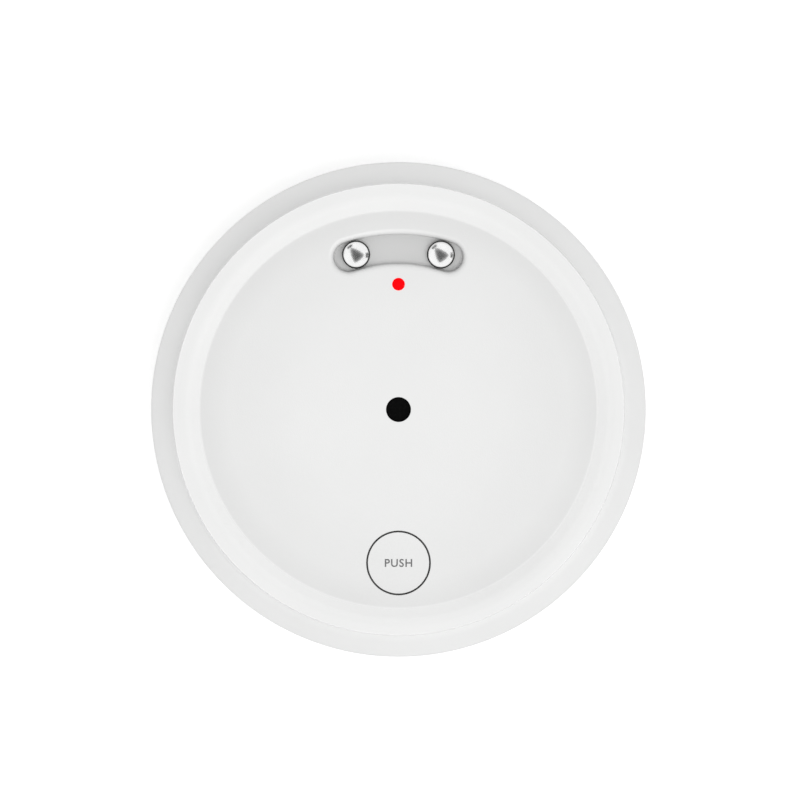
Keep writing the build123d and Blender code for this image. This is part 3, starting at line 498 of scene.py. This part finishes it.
def turned(name, outline, x=0.0, y=0.0, segments=96):
    """Turn a closed outline of radius and height about an upright axis."""
    bm = bmesh.new()
    turns = [2 * math.pi * k / segments for k in range(segments)]
    loops = []
    for radius, height in outline:
        ring = [(x + radius * math.cos(t), y + radius * math.sin(t)) for t in turns]
        if radius < 1e-6:
            ring = [(x, y)]
        loops.append([bm.verts.new((*place, height)) for place in ring])
    for loop, other in zip(loops, loops[1:] + loops[:1]):
        ring, pole = (loop, other) if len(loop) > len(other) else (other, loop)
        if len(ring) == 1:
            continue
        if len(pole) == 1 and abs(ring[0].co.z - pole[0].co.z) < 1e-6:
            bm.faces.new(ring)
            continue
        for k in range(segments):
            n = (k + 1) % segments
            if len(pole) == 1:
                bm.faces.new((pole[0], ring[k], ring[n]))
            else:
                bm.faces.new((ring[k], ring[n], pole[n], pole[k]))
    bmesh.ops.delete(bm, geom=[v for v in bm.verts if not v.link_faces], context="VERTS")
    return from_bmesh(name, bm)


def tube(name, bore, outside, foot, top, y=0.0):
    """An upright ring; bore and outside are radii."""
    return turned(name, [(bore, foot), (outside, foot), (outside, top), (bore, top)], 0, y)


def stacked(name, outlines, levels):
    """Closed bodies from outlines in plan; each level is the outline's growth and its height."""
    bm = bmesh.new()
    for outline in outlines:
        loops = [[bm.verts.new((x, y, height)) for x, y in outline(grow)] for grow, height in levels]
        for lower, upper in zip(loops, loops[1:]):
            for k in range(len(lower)):
                n = (k + 1) % len(lower)
                bm.faces.new((lower[k], lower[n], upper[n], upper[k]))
        bm.faces.new(list(reversed(loops[0])))
        bm.faces.new(loops[-1])
    return from_bmesh(name, bm)


def arc_points(x, y, radius, first, last, count):
    """Points along an arc, angles in degrees."""
    turns = (math.radians(first + (last - first) * k / count) for k in range(count + 1))
    return [(x + radius * math.cos(t), y + radius * math.sin(t)) for t in turns]


def straight(low, high):
    """Levels of a body with upright sides."""
    return [(0, low), (0, high)]


def disc(x, y, radius, segments=64):
    return lambda grow: arc_points(x, y, radius + grow, 0, 360, segments)[:-1]


def discs(places, radius, segments=64):
    return [disc(x, y, radius, segments) for x, y in places]


def rectangle(x, y, length, width, corner, count=12):
    """Rectangle with rounded corners, in plan."""
    def outline(grow):
        points = []
        for first, (sx, sy) in zip((0, 90, 180, 270), ((1, 1), (-1, 1), (-1, -1), (1, -1))):
            points += arc_points(x + sx * (length / 2 - corner), y + sy * (width / 2 - corner),
                                 corner + grow, first, first + 90, count)
        return points
    return outline


def arc_slot(half_width):
    """The groove's outline in plan: an arc-shaped slot with round ends."""
    along, round_end = 72, 28

    def outline(grow):
        wide = half_width + grow
        first, last = 90 - GROOVE_ENDS, 90 + GROOVE_ENDS
        (right_x, right_y), (left_x, left_y) = arc_points(0, 0, GROOVE_R, first, last, 1)
        return (arc_points(0, 0, GROOVE_R + wide, first, last, along)
                + arc_points(left_x, left_y, wide, last, last + 180, round_end)[1:-1]
                + arc_points(0, 0, GROOVE_R - wide, last, first, along)
                + arc_points(right_x, right_y, wide, first + 180, first + 360, round_end)[1:-1])
    return outline


def quarter(size, steps):
    """Sideways and upward parts of a quarter round, from its foot to its top."""
    turns = [math.pi / 2 * k / steps for k in range(steps + 1)]
    return [(size * (1 - math.cos(t)), size * math.sin(t)) for t in turns]


def mouth_up(size, height, steps):
    """Levels of a cut whose mouth widens in a soft lip up to a face."""
    return [(out, height - size + up) for out, up in quarter(size, steps)] + [(size, height + 1)]


def mouth_down(size, height):
    """Levels of a cut from below whose mouth has a soft lip at a face."""
    return [(size, height - 1)] + [(out, height + size - up) for out, up in reversed(quarter(size, 6))]


def soft_foot(size, height):
    """Levels of a body whose lower edge is rounded."""
    return [(up - size, height + out) for out, up in quarter(size, 6)]


def combined(base, added=(), removed=()):
    """The base with bodies added to it and then cut from it, as one closed mesh."""
    for operation, others in (("UNION", added), ("DIFFERENCE", removed)):
        for other in others:
            step = base.modifiers.new("step", "BOOLEAN")
            step.operation = operation
            step.object = other
            step.solver = "MANIFOLD"
    made_plain(base)
    for other in (*added, *removed):
        bpy.data.objects.remove(other)
    return base


def made_plain(obj):
    """Turn what an object's modifiers make into its own mesh."""
    bpy.context.view_layer.update()
    mesh = bpy.data.meshes.new_from_object(obj.evaluated_get(bpy.context.evaluated_depsgraph_get()))
    obj.modifiers.clear()
    obj.data = mesh


def piece(obj, body, material, slot, *stands_for, angle=33):
    """Shade a piece, give it its finish and its body, and let it stand for CAD nodes."""
    obj.data.materials.clear()
    obj.data.materials.append(material)
    obj.data.shade_smooth()
    obj.data.set_sharp_from_angle(angle=math.radians(angle))
    even = obj.modifiers.new("even_normals", "WEIGHTED_NORMAL")
    even.mode = "FACE_AREA"
    even.keep_sharp = True
    made_plain(obj)
    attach(obj, body)
    if stands_for:
        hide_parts(*stands_for)


class Growth:
    """A Geometry Nodes tree under construction, with named inputs for its sizes."""

    def __init__(self, name):
        self.tree = bpy.data.node_groups.new(name, "GeometryNodeTree")
        face = self.tree.interface
        face.new_socket("Geometry", in_out="INPUT", socket_type="NodeSocketGeometry")
        face.new_socket("Geometry", in_out="OUTPUT", socket_type="NodeSocketGeometry")
        self.given = self.tree.nodes.new("NodeGroupInput")
        self.identifiers = {}

    def size(self, name):
        """Add a named input and return its socket inside the tree."""
        socket = self.tree.interface.new_socket(name, in_out="INPUT", socket_type="NodeSocketFloat")
        self.identifiers[name] = socket.identifier
        return self.given.outputs[name]

    def add(self, kind, properties=None, **inputs):
        node = self.tree.nodes.new(kind)
        for key, value in (properties or {}).items():
            setattr(node, key, value)
        for key, value in inputs.items():
            for one in value if isinstance(value, list) else [value]:
                feed(self.tree, node.inputs[key.replace("_", " ")], one)
        return node.outputs[0]

    def grown(self, obj, shape, material, **sizes):
        """End the tree, run it on an object with these sizes in millimetres, and keep the plain mesh."""
        real = self.add("GeometryNodeRealizeInstances", Geometry=shape)
        finished = self.add("GeometryNodeSetMaterial", Geometry=real, Material=material)
        self.tree.links.new(finished, self.tree.nodes.new("NodeGroupOutput").inputs["Geometry"])
        modifier = obj.modifiers.new("grow", "NODES")
        modifier.node_group = self.tree
        for name, value in sizes.items():
            modifier[self.identifiers[name.replace("_", " ")]] = value * MM
        made_plain(obj)


# Housings


def cover():
    """Upper housing: turned shell with the groove, its holes and the rings under the top."""
    shell = turned("cover_shell", rounded(
        [(0, DISH_Z), (DISH_R, DISH_Z, 0.2), (RIM_INNER_R, RIM_Z, 2.9), (COLLAR_R, RIM_Z, 0.25),
         (COLLAR_R, SHOULDER_TOP, 0.4), (BODY_R, SHOULDER_FOOT, 1.4), (BODY_R, SKIRT_Z, 0.15),
         (REBATE_R, SKIRT_Z), (REBATE_R, REBATE_Z), (BODY_BORE, REBATE_Z), (BODY_BORE, INSIDE_FOOT, 0.8),
         (COLLAR_BORE, INSIDE_TOP), (COLLAR_BORE, PLATE_Z), (0, PLATE_Z)], 5.0), segments=384)
    probes = TOP_PROBES.values()
    added = [
        stacked("screw_bosses", discs(SCREWS, SCREW_BOSS_R), straight(PILLAR_TOP, SCREW_BOSS_TOP)),
        stacked("groove_pad", [arc_slot(PAD_HALF)], straight(PAD_Z, PAD_TOP)),
        tube("button_ring", *BUTTON_RING, RING_TOP, BUTTON_Y),
        tube("buzzer_ring", *BUZZER_RING, RING_TOP),
        tube("light_ring", *LIGHT_RING, RING_TOP, LIGHT_Y),
    ]
    soft, through = 0.12, [(0, PLATE_Z - 1)]
    floor_corner = [(up - soft, GROOVE_FLOOR + out) for out, up in quarter(soft, 5)]
    removed = [
        stacked("groove", [arc_slot(GROOVE_HALF)], floor_corner + mouth_up(1.0, DISH_Z, 14)),
        stacked("probe_holes", discs(probes, PROBE_HOLE_R), straight(PAD_Z - 1, GROOVE_FLOOR + 1)),
        stacked("seal_seats", discs(probes, SEAL_SEAT_R), straight(SEAL_SEAT_Z, GROOVE_FLOOR + 0.5)),
        stacked("sound_hole", [disc(0, 0, SOUND_R, 128)], through + mouth_up(0.08, DISH_Z, 4)),
        stacked("light_hole", [disc(0, LIGHT_Y, LIGHT_R + 0.03)], through + [(0, DISH_Z + 1)]),
        stacked("light_seat", [disc(0, LIGHT_Y, LIGHT_SEAT_R)], straight(LIGHT_SEAT_Z, PLATE_Z)),
        stacked("button_bore", [disc(0, BUTTON_Y, BUTTON_BORE, 192)], through + mouth_up(0.07, DISH_Z, 5)),
        stacked("screw_bores", discs(SCREWS, SCREW_BORE_R, 32), straight(PILLAR_TOP - 1, SCREW_BORE_TOP)),
    ]
    piece(combined(shell, added, removed), "case", finishes["upper_housing"], "white_case", "upper_housing")


def base():
    """Lower housing: turned pan with the battery bay, pillars and seats."""
    pan = turned("base_shell", rounded(
        [(0, BASE_Z), (BODY_R, BASE_Z, 1.6), (BODY_R, SEAM_Z, 0.15), (TONGUE_R, SEAM_Z),
         (TONGUE_R, TONGUE_Z, 0.15), (BODY_BORE, TONGUE_Z), (BODY_BORE, BASE_TOP, 0.8), (0, BASE_TOP)],
        6.0), segments=384)
    inside = BASE_TOP - 0.5
    feet, door_screws = FEET.values(), DOOR_SCREWS.values()
    rests = [(x, BAY_Y + y) for x in (-REST_X, REST_X) for y in (-REST_Y, REST_Y)]
    tabs = [rectangle(TAB_X, y, *TAB_SLOT, 3) for y, _ in CELL_ROWS.values()]
    added = [
        stacked("door_frame", [rectangle(0, BAY_Y, *DOOR_FRAME)], straight(inside, FRAME_TOP)),
        stacked("bay_walls", [rectangle(0, BAY_Y, *BAY_WALLS)], straight(inside, WALL_TOP)),
        stacked("pillars", discs(SCREWS, PILLAR_R), straight(inside, PILLAR_TOP)),
        stacked("foot_bosses", discs(feet, FOOT_BOSS_R), straight(inside, FOOT_BOSS_TOP)),
        stacked("door_screw_bosses", discs(door_screws, POST_R), straight(POST_Z, POST_TOP)),
        stacked("board_rests", discs(rests, REST_R, 32), straight(REST_Z, REST_TOP)),
    ]
    mouth = mouth_down(0.2, BASE_Z)
    removed = [
        stacked("door_recess", [rectangle(0, BAY_Y, *DOOR_RECESS, 20)], mouth + [(0, RECESS_TOP)]),
        stacked("bay", [rectangle(0, BAY_Y, *BAY)], straight(BAY_Z, BAY_TOP)),
        stacked("tab_slots", tabs, straight(BAY_TOP - 1, WALL_TOP + 0.5)),
        stacked("screw_pockets", discs(SCREWS, POCKET_R), mouth + [(0, POCKET_TOP)]),
        stacked("screw_holes", discs(SCREWS, SCREW_HOLE_R, 40), straight(POCKET_TOP - 1, PILLAR_TOP + 1)),
        stacked("foot_seats", discs(feet, FOOT_SEAT_R), straight(BASE_Z - 1, FOOT_SEAT_TOP)),
        stacked("foot_holes", discs(feet, PROBE_HOLE_R), straight(BASE_Z - 0.1, FOOT_BOSS_TOP + 1)),
        stacked("door_screw_bores", discs(door_screws, POST_BORE_R),
                straight(RECESS_TOP - 1, POST_BORE_TOP)),
    ]
    piece(combined(pan, added, removed), "case", finishes["white_case"], "white_case", "lower_housing")


def door():
    """Battery door with softened edges and screw seats."""
    screws = DOOR_SCREWS.values()
    plate = stacked("door_plate", [rectangle(0, BAY_Y, *DOOR_PLATE, 20)],
                    soft_foot(0.25, BASE_Z) + [(0, DOOR_TOP - 0.1), (-0.1, DOOR_TOP)])
    added = [stacked("door_bosses", discs(screws, DOOR_BOSS_R), straight(DOOR_TOP - 0.3, RECESS_TOP))]
    removed = [
        stacked("door_necks", discs(screws, DOOR_NECK_R, 48), straight(BASE_Z - 0.5, RECESS_TOP + 1)),
        stacked("door_seats", discs(screws, DOOR_SEAT_R), mouth_down(0.15, BASE_Z) + [(0, DOOR_SEAT_TOP)]),
    ]
    piece(combined(plate, added, removed), "door", finishes["white_case"], "white_case", "battery_door")


# What shows in the top


def button():
    """Test button with its flange, hollow and stem."""
    cap = turned("button_cap", rounded(
        [(0, DISH_Z), (BUTTON_R, DISH_Z, 0.08), (BUTTON_R, FLANGE_TOP), (FLANGE_R, FLANGE_TOP, 0.1),
         (FLANGE_R, FLANGE_Z, 0.1), (HOLLOW_R, FLANGE_Z), (HOLLOW_R, HOLLOW_TOP), (STEM_R, HOLLOW_TOP),
         (STEM_R, STEM_Z), (0, STEM_Z)]), 0, BUTTON_Y, 192)
    piece(cap, "button", finishes["white_button"], "white_button", "test_button")


def button_word(word, cap_height, proud):
    """A plain word printed on the button, as a thin layer of ink."""
    letters = bpy.data.curves.new("button_letters", "FONT")
    letters.body = word
    letters.extrude = 0.02
    letters.resolution_u = 4
    letters.offset = 0.014
    letters.space_character = 1.12
    written = linked("button_letters", letters)
    bpy.context.view_layer.update()
    bm = bmesh.new()
    bm.from_mesh(bpy.data.meshes.new_from_object(written))
    bpy.data.objects.remove(written)
    low = [min(v.co[axis] for v in bm.verts) for axis in range(3)]
    high = [max(v.co[axis] for v in bm.verts) for axis in range(3)]
    middle_x, middle_y, middle_z = ((a + b) / 2 for a, b in zip(low, high))
    size = cap_height / (high[1] - low[1])
    for v in bm.verts:
        lift = proud if v.co.z > middle_z else -proud
        v.co = ((v.co.x - middle_x) * size, BUTTON_Y + (v.co.y - middle_y) * size, DISH_Z + lift)
    printed = from_bmesh("button_word", bm)
    printed.data.materials.append(printed_ink("word_ink", (0.165, 0.165, 0.168)))
    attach(printed, "button")


def ball_cap(radius, rise, top, count):
    """Outline of a low dome, from its middle to its edge."""
    ball = (radius**2 + rise**2) / (2 * rise)
    reach = math.asin(radius / ball)
    return [(ball * math.sin(reach * k / count), top - ball * (1 - math.cos(reach * k / count)))
            for k in range(count + 1)]


def light():
    """Red light pipe with a flange, and a low dome just above the dish."""
    outline = [(0, LIGHT_FOOT_Z), (LIGHT_FOOT_R, LIGHT_FOOT_Z), (LIGHT_FOOT_R, LIGHT_FLANGE_Z),
               (LIGHT_FLANGE_R, LIGHT_FLANGE_Z), (LIGHT_FLANGE_R, PLATE_Z), (LIGHT_R, PLATE_Z),
               *reversed(ball_cap(LIGHT_R, 0.15, LIGHT_TOP, 10))]
    pipe = turned("light_pipe_lens", outline, 0, LIGHT_Y, 64)
    piece(pipe, "case", finishes["red_light_pipe"], "red_light_pipe", "light_pipe")


def top_probes():
    """Polished studs with a ball-shaped head and a softened edge."""
    *dome, edge = ball_cap(HEAD_R, HEAD_RISE, TOP_PROBE_Z, 24)
    outline = rounded([*dome, (*edge, 0.2), (HEAD_R, GROOVE_FLOOR, 0.1), (SHANK_R, GROOVE_FLOOR),
                       (SHANK_R, TOP_PROBE_FOOT, 0.1), (0, TOP_PROBE_FOOT)])
    for side, (x, y) in TOP_PROBES.items():
        name = f"top_probe_{side}"
        stud = turned(f"probe_stud_{side}", outline, x, y, 128)
        piece(stud, "case", finishes[name], "polished_probe", name)


def bottom_probes():
    """Studs that the sensor stands on, with a flat tip and a soft shoulder."""
    outline = rounded([(0, 0), (FOOT_R, 0, 0.7), (FOOT_R, BASE_Z), (SHANK_R, BASE_Z),
                       (SHANK_R, FOOT_TOP, 0.15), (0, FOOT_TOP)])
    for place, (x, y) in FEET.items():
        name = f"bottom_probe_{place}"
        foot = turned(f"probe_foot_{place}", outline, x, y)
        piece(foot, "case", finishes[name], "steel_probe", name)


# Screws, cells and springs


def screw_blank(name, head_r, core_r, head_low, head_high, tip):
    """Head and core of a screw, upright at the origin, with a cross recess in its lower face."""
    blank = turned(name, rounded(
        [(0, head_low), (head_r, head_low, 0.25), (head_r, head_high, 0.1), (core_r, head_high),
         (core_r, tip - 0.6), (0.5 * core_r, tip, 0.1), (0, tip)]), segments=64)
    length, width, depth = 1.9, 0.5, 0.7
    recess = [(0.0, head_low - 0.5), (0.0, head_low), (-0.07, head_low + depth)]
    arms = [stacked("arm", [rectangle(0, 0, *sides, 0.12, 4)], recess)
            for sides in ((length, width), (width, length))]
    return combined(blank, removed=arms)


def threaded(tree, low):
    """Join a thread to a screw: a ridge that winds round the core from a height upwards."""
    length, radius = tree.size("Thread length"), tree.size("Thread radius")
    turns = maths(tree.tree, "DIVIDE", length, tree.size("Pitch"))
    path = tree.add("GeometryNodeCurveSpiral", Resolution=32, Height=length, Start_Radius=radius,
                    End_Radius=radius, Rotations=turns)
    upright = tree.add("GeometryNodeSetCurveNormal", {"mode": "Z_UP"}, Curve=path)
    ridge = tree.add("GeometryNodeCurvePrimitiveCircle", Resolution=4, Radius=tree.size("Ridge"))
    thread = tree.add("GeometryNodeCurveToMesh", Curve=upright, Profile_Curve=ridge, Fill_Caps=True)
    raised = tree.add("GeometryNodeTransform", Geometry=thread, Translation=(0, 0, low * MM))
    return tree.add("GeometryNodeJoinGeometry", Geometry=[raised, tree.given.outputs["Geometry"]])


def housing_screws():
    """Four screws that hold the housings together, set out by a grid of two by two points."""
    tree = Growth("housing_screw_set")
    screw = threaded(tree, 9.0)
    points = tree.add("GeometryNodeMeshGrid", Size_X=tree.size("Spacing X"), Size_Y=tree.size("Spacing Y"),
                      Vertices_X=2, Vertices_Y=2)
    screws = tree.add("GeometryNodeInstanceOnPoints", Points=points, Instance=screw)
    blank = screw_blank("screws_with_cross", head_r=2.0, core_r=0.9, head_low=5.1, head_high=POCKET_TOP,
                        tip=15.6)
    tree.grown(blank, screws, finishes["screw_steel"], Thread_length=6.0, Pitch=PITCH, Thread_radius=0.93,
               Ridge=RIDGE, Spacing_X=2 * SCREWS[0][0], Spacing_Y=2 * SCREWS[0][1])
    piece(blank, "case", finishes["screw_steel"], "screw_steel", "housing_screws")


def door_screws():
    """Captive screws whose thread is wider than the hole in the door, a hair off their seats."""
    for side, (x, y) in DOOR_SCREWS.items():
        tree = Growth(f"door_screw_{side}_set")
        points = tree.add("GeometryNodeMeshLine", Count=1, Start_Location=(x * MM, y * MM, 0))
        screws = tree.add("GeometryNodeInstanceOnPoints", Points=points, Instance=threaded(tree, 3.8))
        blank = screw_blank(f"captive_screw_{side}", head_r=2.2, core_r=0.85, head_low=1.1,
                            head_high=DOOR_SEAT_TOP - 0.02, tip=8.9)
        tree.grown(blank, screws, finishes["screw_steel"], Thread_length=4.6, Pitch=PITCH,
                   Thread_radius=0.87, Ridge=RIDGE)
        piece(blank, f"{side}_door_screw", finishes["screw_steel"], "screw_steel", f"door_screw_{side}")


def laid_along_x(obj, foot, direction):
    """Lay an upright piece along X, its top towards the direction, with its foot at a point."""
    place = Matrix.Translation(Vector(foot) * MM)
    obj.data.transform(place @ Matrix.Rotation(direction * math.pi / 2, 4, "Y"))
    return obj


def cells():
    """Two cells, each a steel can with a plus button in a shrunk sleeve that laps over its ends; heights
    count from the plus end."""
    can = rounded([(0, 0), (1.9, 0, 0.3), (1.9, 1.0, 0.25), (3.2, 1.0), (3.4, 1.2), (4.9, 1.2),
                   (CAN_R, 1.4), (CAN_R, 44.2), (4.8, 44.4), (3.9, 44.4), (3.7, CELL_LENGTH),
                   (0, CELL_LENGTH)])
    sleeve = rounded([(LAP_R, 1.05), (CELL_R, 1.0, 0.45), (CELL_R, CELL_LENGTH, 0.45), (LAP_R, 44.47),
                      (LAP_R, 44.37), (5.1, 44.35, 0.3), (5.1, 1.15, 0.3), (LAP_R, 1.15)])
    for place, (y, side) in CELL_ROWS.items():
        plus_end = (side * CELL_END_X, y, CELL_Z)
        body = laid_along_x(turned(f"cell_can_{place}", can), plus_end, -side)
        wrap = laid_along_x(turned(f"cell_wrap_{place}", sleeve), plus_end, -side)
        name = f"battery_cell_{place}"
        piece(body, "case", finishes["contact_metal"], "contact_metal")
        piece(wrap, "case", finishes[name], "cell_sleeve", name)


def springs():
    """Two cone-shaped coil springs that press on the flat ends of the cells."""
    tree = Growth("cell_spring_set")
    wire, turns = tree.size("Wire radius"), 5.0
    path = tree.add("GeometryNodeCurveSpiral", Resolution=40, Rotations=turns,
                    Start_Radius=tree.size("Foot radius"), End_Radius=tree.size("Tip radius"),
                    Height=tree.size("Length"))
    section = tree.add("GeometryNodeCurvePrimitiveCircle", Resolution=12, Radius=wire)
    upright = tree.add("GeometryNodeSetCurveNormal", {"mode": "Z_UP"}, Curve=path)
    coil = tree.add("GeometryNodeCurveToMesh", Curve=upright, Profile_Curve=section, Fill_Caps=True)
    laid = []
    for y, side in CELL_ROWS.values():
        foot = (-side * (CELL_END_X - SPRING_WIRE_R) * MM, y * MM, CELL_Z * MM)
        laid.append(tree.add("GeometryNodeTransform", Geometry=coil, Rotation=(0, side * math.pi / 2, 0),
                             Translation=foot))
    both = tree.add("GeometryNodeJoinGeometry", Geometry=laid)
    start = linked("coiled_springs", bpy.data.meshes.new("coiled_springs"))
    tree.grown(start, both, finishes["contact_metal"], Foot_radius=3.3, Tip_radius=2.1, Length=4.6,
               Wire_radius=SPRING_WIRE_R)
    piece(start, "case", finishes["contact_metal"], "contact_metal", "battery_springs", angle=60)


cover()
base()
door()
button()
button_word("PUSH", cap_height=1.3, proud=0.015)
light()
top_probes()
bottom_probes()
housing_screws()
door_screws()
cells()
springs()


# Floor, light and camera


def lamp(name, place, aim, size, power):
    """A square soft box that shines from a place towards a point; lengths in metres."""
    data = bpy.data.lights.new(name, "AREA")
    data.shape = "SQUARE"
    data.size = size
    data.energy = power
    obj = linked(name, data)
    obj.location = place
    obj.rotation_euler = (Vector(aim) - Vector(place)).to_track_quat("-Z", "Y").to_euler()
    obj.visible_camera = False
    obj.visible_glossy = False


def seen_rays(tree):
    """One for rays from the camera, in gloss and in glass, nothing for the rest; and all kinds of rays."""
    rays = tree.nodes.new("ShaderNodeLightPath").outputs
    seen = rays["Is Camera Ray"]
    for kind in ("Is Glossy Ray", "Is Transmission Ray"):
        seen = maths(tree, "MAXIMUM", seen, rays[kind])
    return seen, rays


def level_for(tree, seen, hidden, shown):
    """A strength that differs between light on the object and what is seen."""
    level = tree.nodes.new("ShaderNodeMapRange")
    tree.links.new(seen, level.inputs["Value"])
    level.inputs["To Min"].default_value = hidden
    level.inputs["To Max"].default_value = shown
    return level.outputs["Result"]


def studio_floor(half, gap, lift):
    """White floor that keeps the shadow; light from below passes it, and so does light that leaves the
    underside and meets the floor within the gap."""
    mesh = bpy.data.meshes.new("studio_floor")
    mesh.from_pydata([(x * half, y * half, 0) for x, y in ((-1, -1), (1, -1), (1, 1), (-1, 1))],
                     [], [(0, 1, 2, 3)])
    floor = linked("studio_floor", mesh)
    material = bpy.data.materials.new("floor_white")
    material.use_nodes = True
    tree = material.node_tree
    tree.nodes.clear()
    seen, rays = seen_rays(tree)
    paint = tree.nodes.new("ShaderNodeBsdfDiffuse")
    paint.inputs["Color"].default_value = (*grey(0.9), 1)
    glow = tree.nodes.new("ShaderNodeEmission")
    tree.links.new(level_for(tree, seen, 0.0, lift), glow.inputs["Strength"])
    lit = tree.nodes.new("ShaderNodeAddShader")
    tree.links.new(paint.outputs[0], lit.inputs[0])
    tree.links.new(glow.outputs[0], lit.inputs[1])
    close = maths(tree, "LESS_THAN", rays["Ray Length"], gap)
    through = maths(tree, "MULTIPLY", close, rays["Is Diffuse Ray"])
    from_below = tree.nodes.new("ShaderNodeNewGeometry").outputs["Backfacing"]
    for way in (from_below, rays["Is Shadow Ray"]):
        through = maths(tree, "MAXIMUM", through, way)
    mix = tree.nodes.new("ShaderNodeMixShader")
    tree.links.new(through, mix.inputs[0])
    tree.links.new(lit.outputs[0], mix.inputs[1])
    tree.links.new(tree.nodes.new("ShaderNodeBsdfTransparent").outputs[0], mix.inputs[2])
    out = tree.nodes.new("ShaderNodeOutputMaterial")
    tree.links.new(mix.outputs[0], out.inputs["Surface"])
    mesh.materials.append(material)


def studio_world(level):
    """Even light from all round, seen as white by the camera and in reflections."""
    world = bpy.data.worlds.new("studio_world")
    bpy.context.scene.world = world
    world.use_nodes = True
    tree = world.node_tree
    back = tree.nodes["Background"]
    back.inputs["Color"].default_value = (1, 1, 1, 1)
    tree.links.new(level_for(tree, seen_rays(tree)[0], level, 1.0), back.inputs["Strength"])


def grey_card(name, corners, level):
    """A flat grey card over the sensor that only shows in its polished metal; corners in metres."""
    mesh = bpy.data.meshes.new(name)
    mesh.from_pydata(corners, [], [tuple(range(len(corners)))])
    card = linked(name, mesh)
    material = bpy.data.materials.new(name)
    material.use_nodes = True
    shader = material.node_tree.nodes["Principled BSDF"]
    shader.inputs["Base Color"].default_value = (0, 0, 0, 1)
    shader.inputs["Specular IOR Level"].default_value = 0.0
    shader.inputs["Emission Color"].default_value = (1, 1, 1, 1)
    shader.inputs["Emission Strength"].default_value = level
    mesh.materials.append(material)
    for way in ("camera", "diffuse", "transmission", "shadow", "volume_scatter"):
        setattr(card, f"visible_{way}", False)


def low_card(name, turn, rise, width, height, level):
    """A small upright card half a metre out, at an azimuth and an elevation in degrees."""
    out, away = Matrix.Rotation(math.radians(turn), 3, "Z") @ Vector((1, 0, 0)), 0.5
    centre = out * away + Vector((0, 0, away * math.tan(math.radians(rise)) + TOP_PROBE_Z * MM))
    aside, up = Vector((-out.y, out.x, 0)) * width / 2, Vector((0, 0, height / 2))
    corners = [centre - aside - up, centre + aside - up, centre + aside + up, centre - aside + up]
    grey_card(name, corners, level)


studio_floor(half=3.0, gap=6 * MM, lift=0.34)
studio_world(level=0.62)
lamp("key_lamp", place=(0.115, -0.165, 1.0), aim=(0, 0, 0.02), size=0.5, power=4.5)
lamp("low_lamp", place=(0.0, 0.0, -0.8), aim=(0, 0, 0), size=1.0, power=1.6)
CARD_Z, CARD_CORNERS = 0.3, [(1.22, 0.02), (-0.98, 1.25), (-0.22, -1.22)]
for name, share, height, level in (("grey_card_wide", 1.0, CARD_Z, 0.26),
                                   ("grey_card_small", 0.55, 0.9 * CARD_Z, 0.12)):
    grey_card(name, [(share * height * x, share * height * y, height) for x, y in CARD_CORNERS], level)
low_card("grey_card_right", turn=0, rise=14, width=0.24, height=0.17, level=0.02)
low_card("grey_card_left", turn=128, rise=19, width=0.28, height=0.15, level=0.02)

# Widths of the photograph and of the case in it, and the case's middle there, in pixels
PHOTO_WIDTH, CASE_WIDTH, CASE_X, CASE_Y = 800, 495, 398.5, 409.5
pixel = 2 * BODY_R * MM / CASE_WIDTH
camera_data = bpy.data.cameras.new("photo_camera")
camera_data.lens = 400.0
camera_data.sensor_width = 36.0
camera_data.clip_start = 0.1
camera_data.clip_end = 10.0
camera_distance = PHOTO_WIDTH * pixel * camera_data.lens / camera_data.sensor_width
camera = linked("photo_camera", camera_data)
camera.location = ((PHOTO_WIDTH / 2 - CASE_X) * pixel, (CASE_Y - PHOTO_WIDTH / 2) * pixel,
                   SHOULDER_FOOT * MM + camera_distance)
bpy.context.scene.camera = camera
bpy.context.scene.view_settings.view_transform = "Standard"
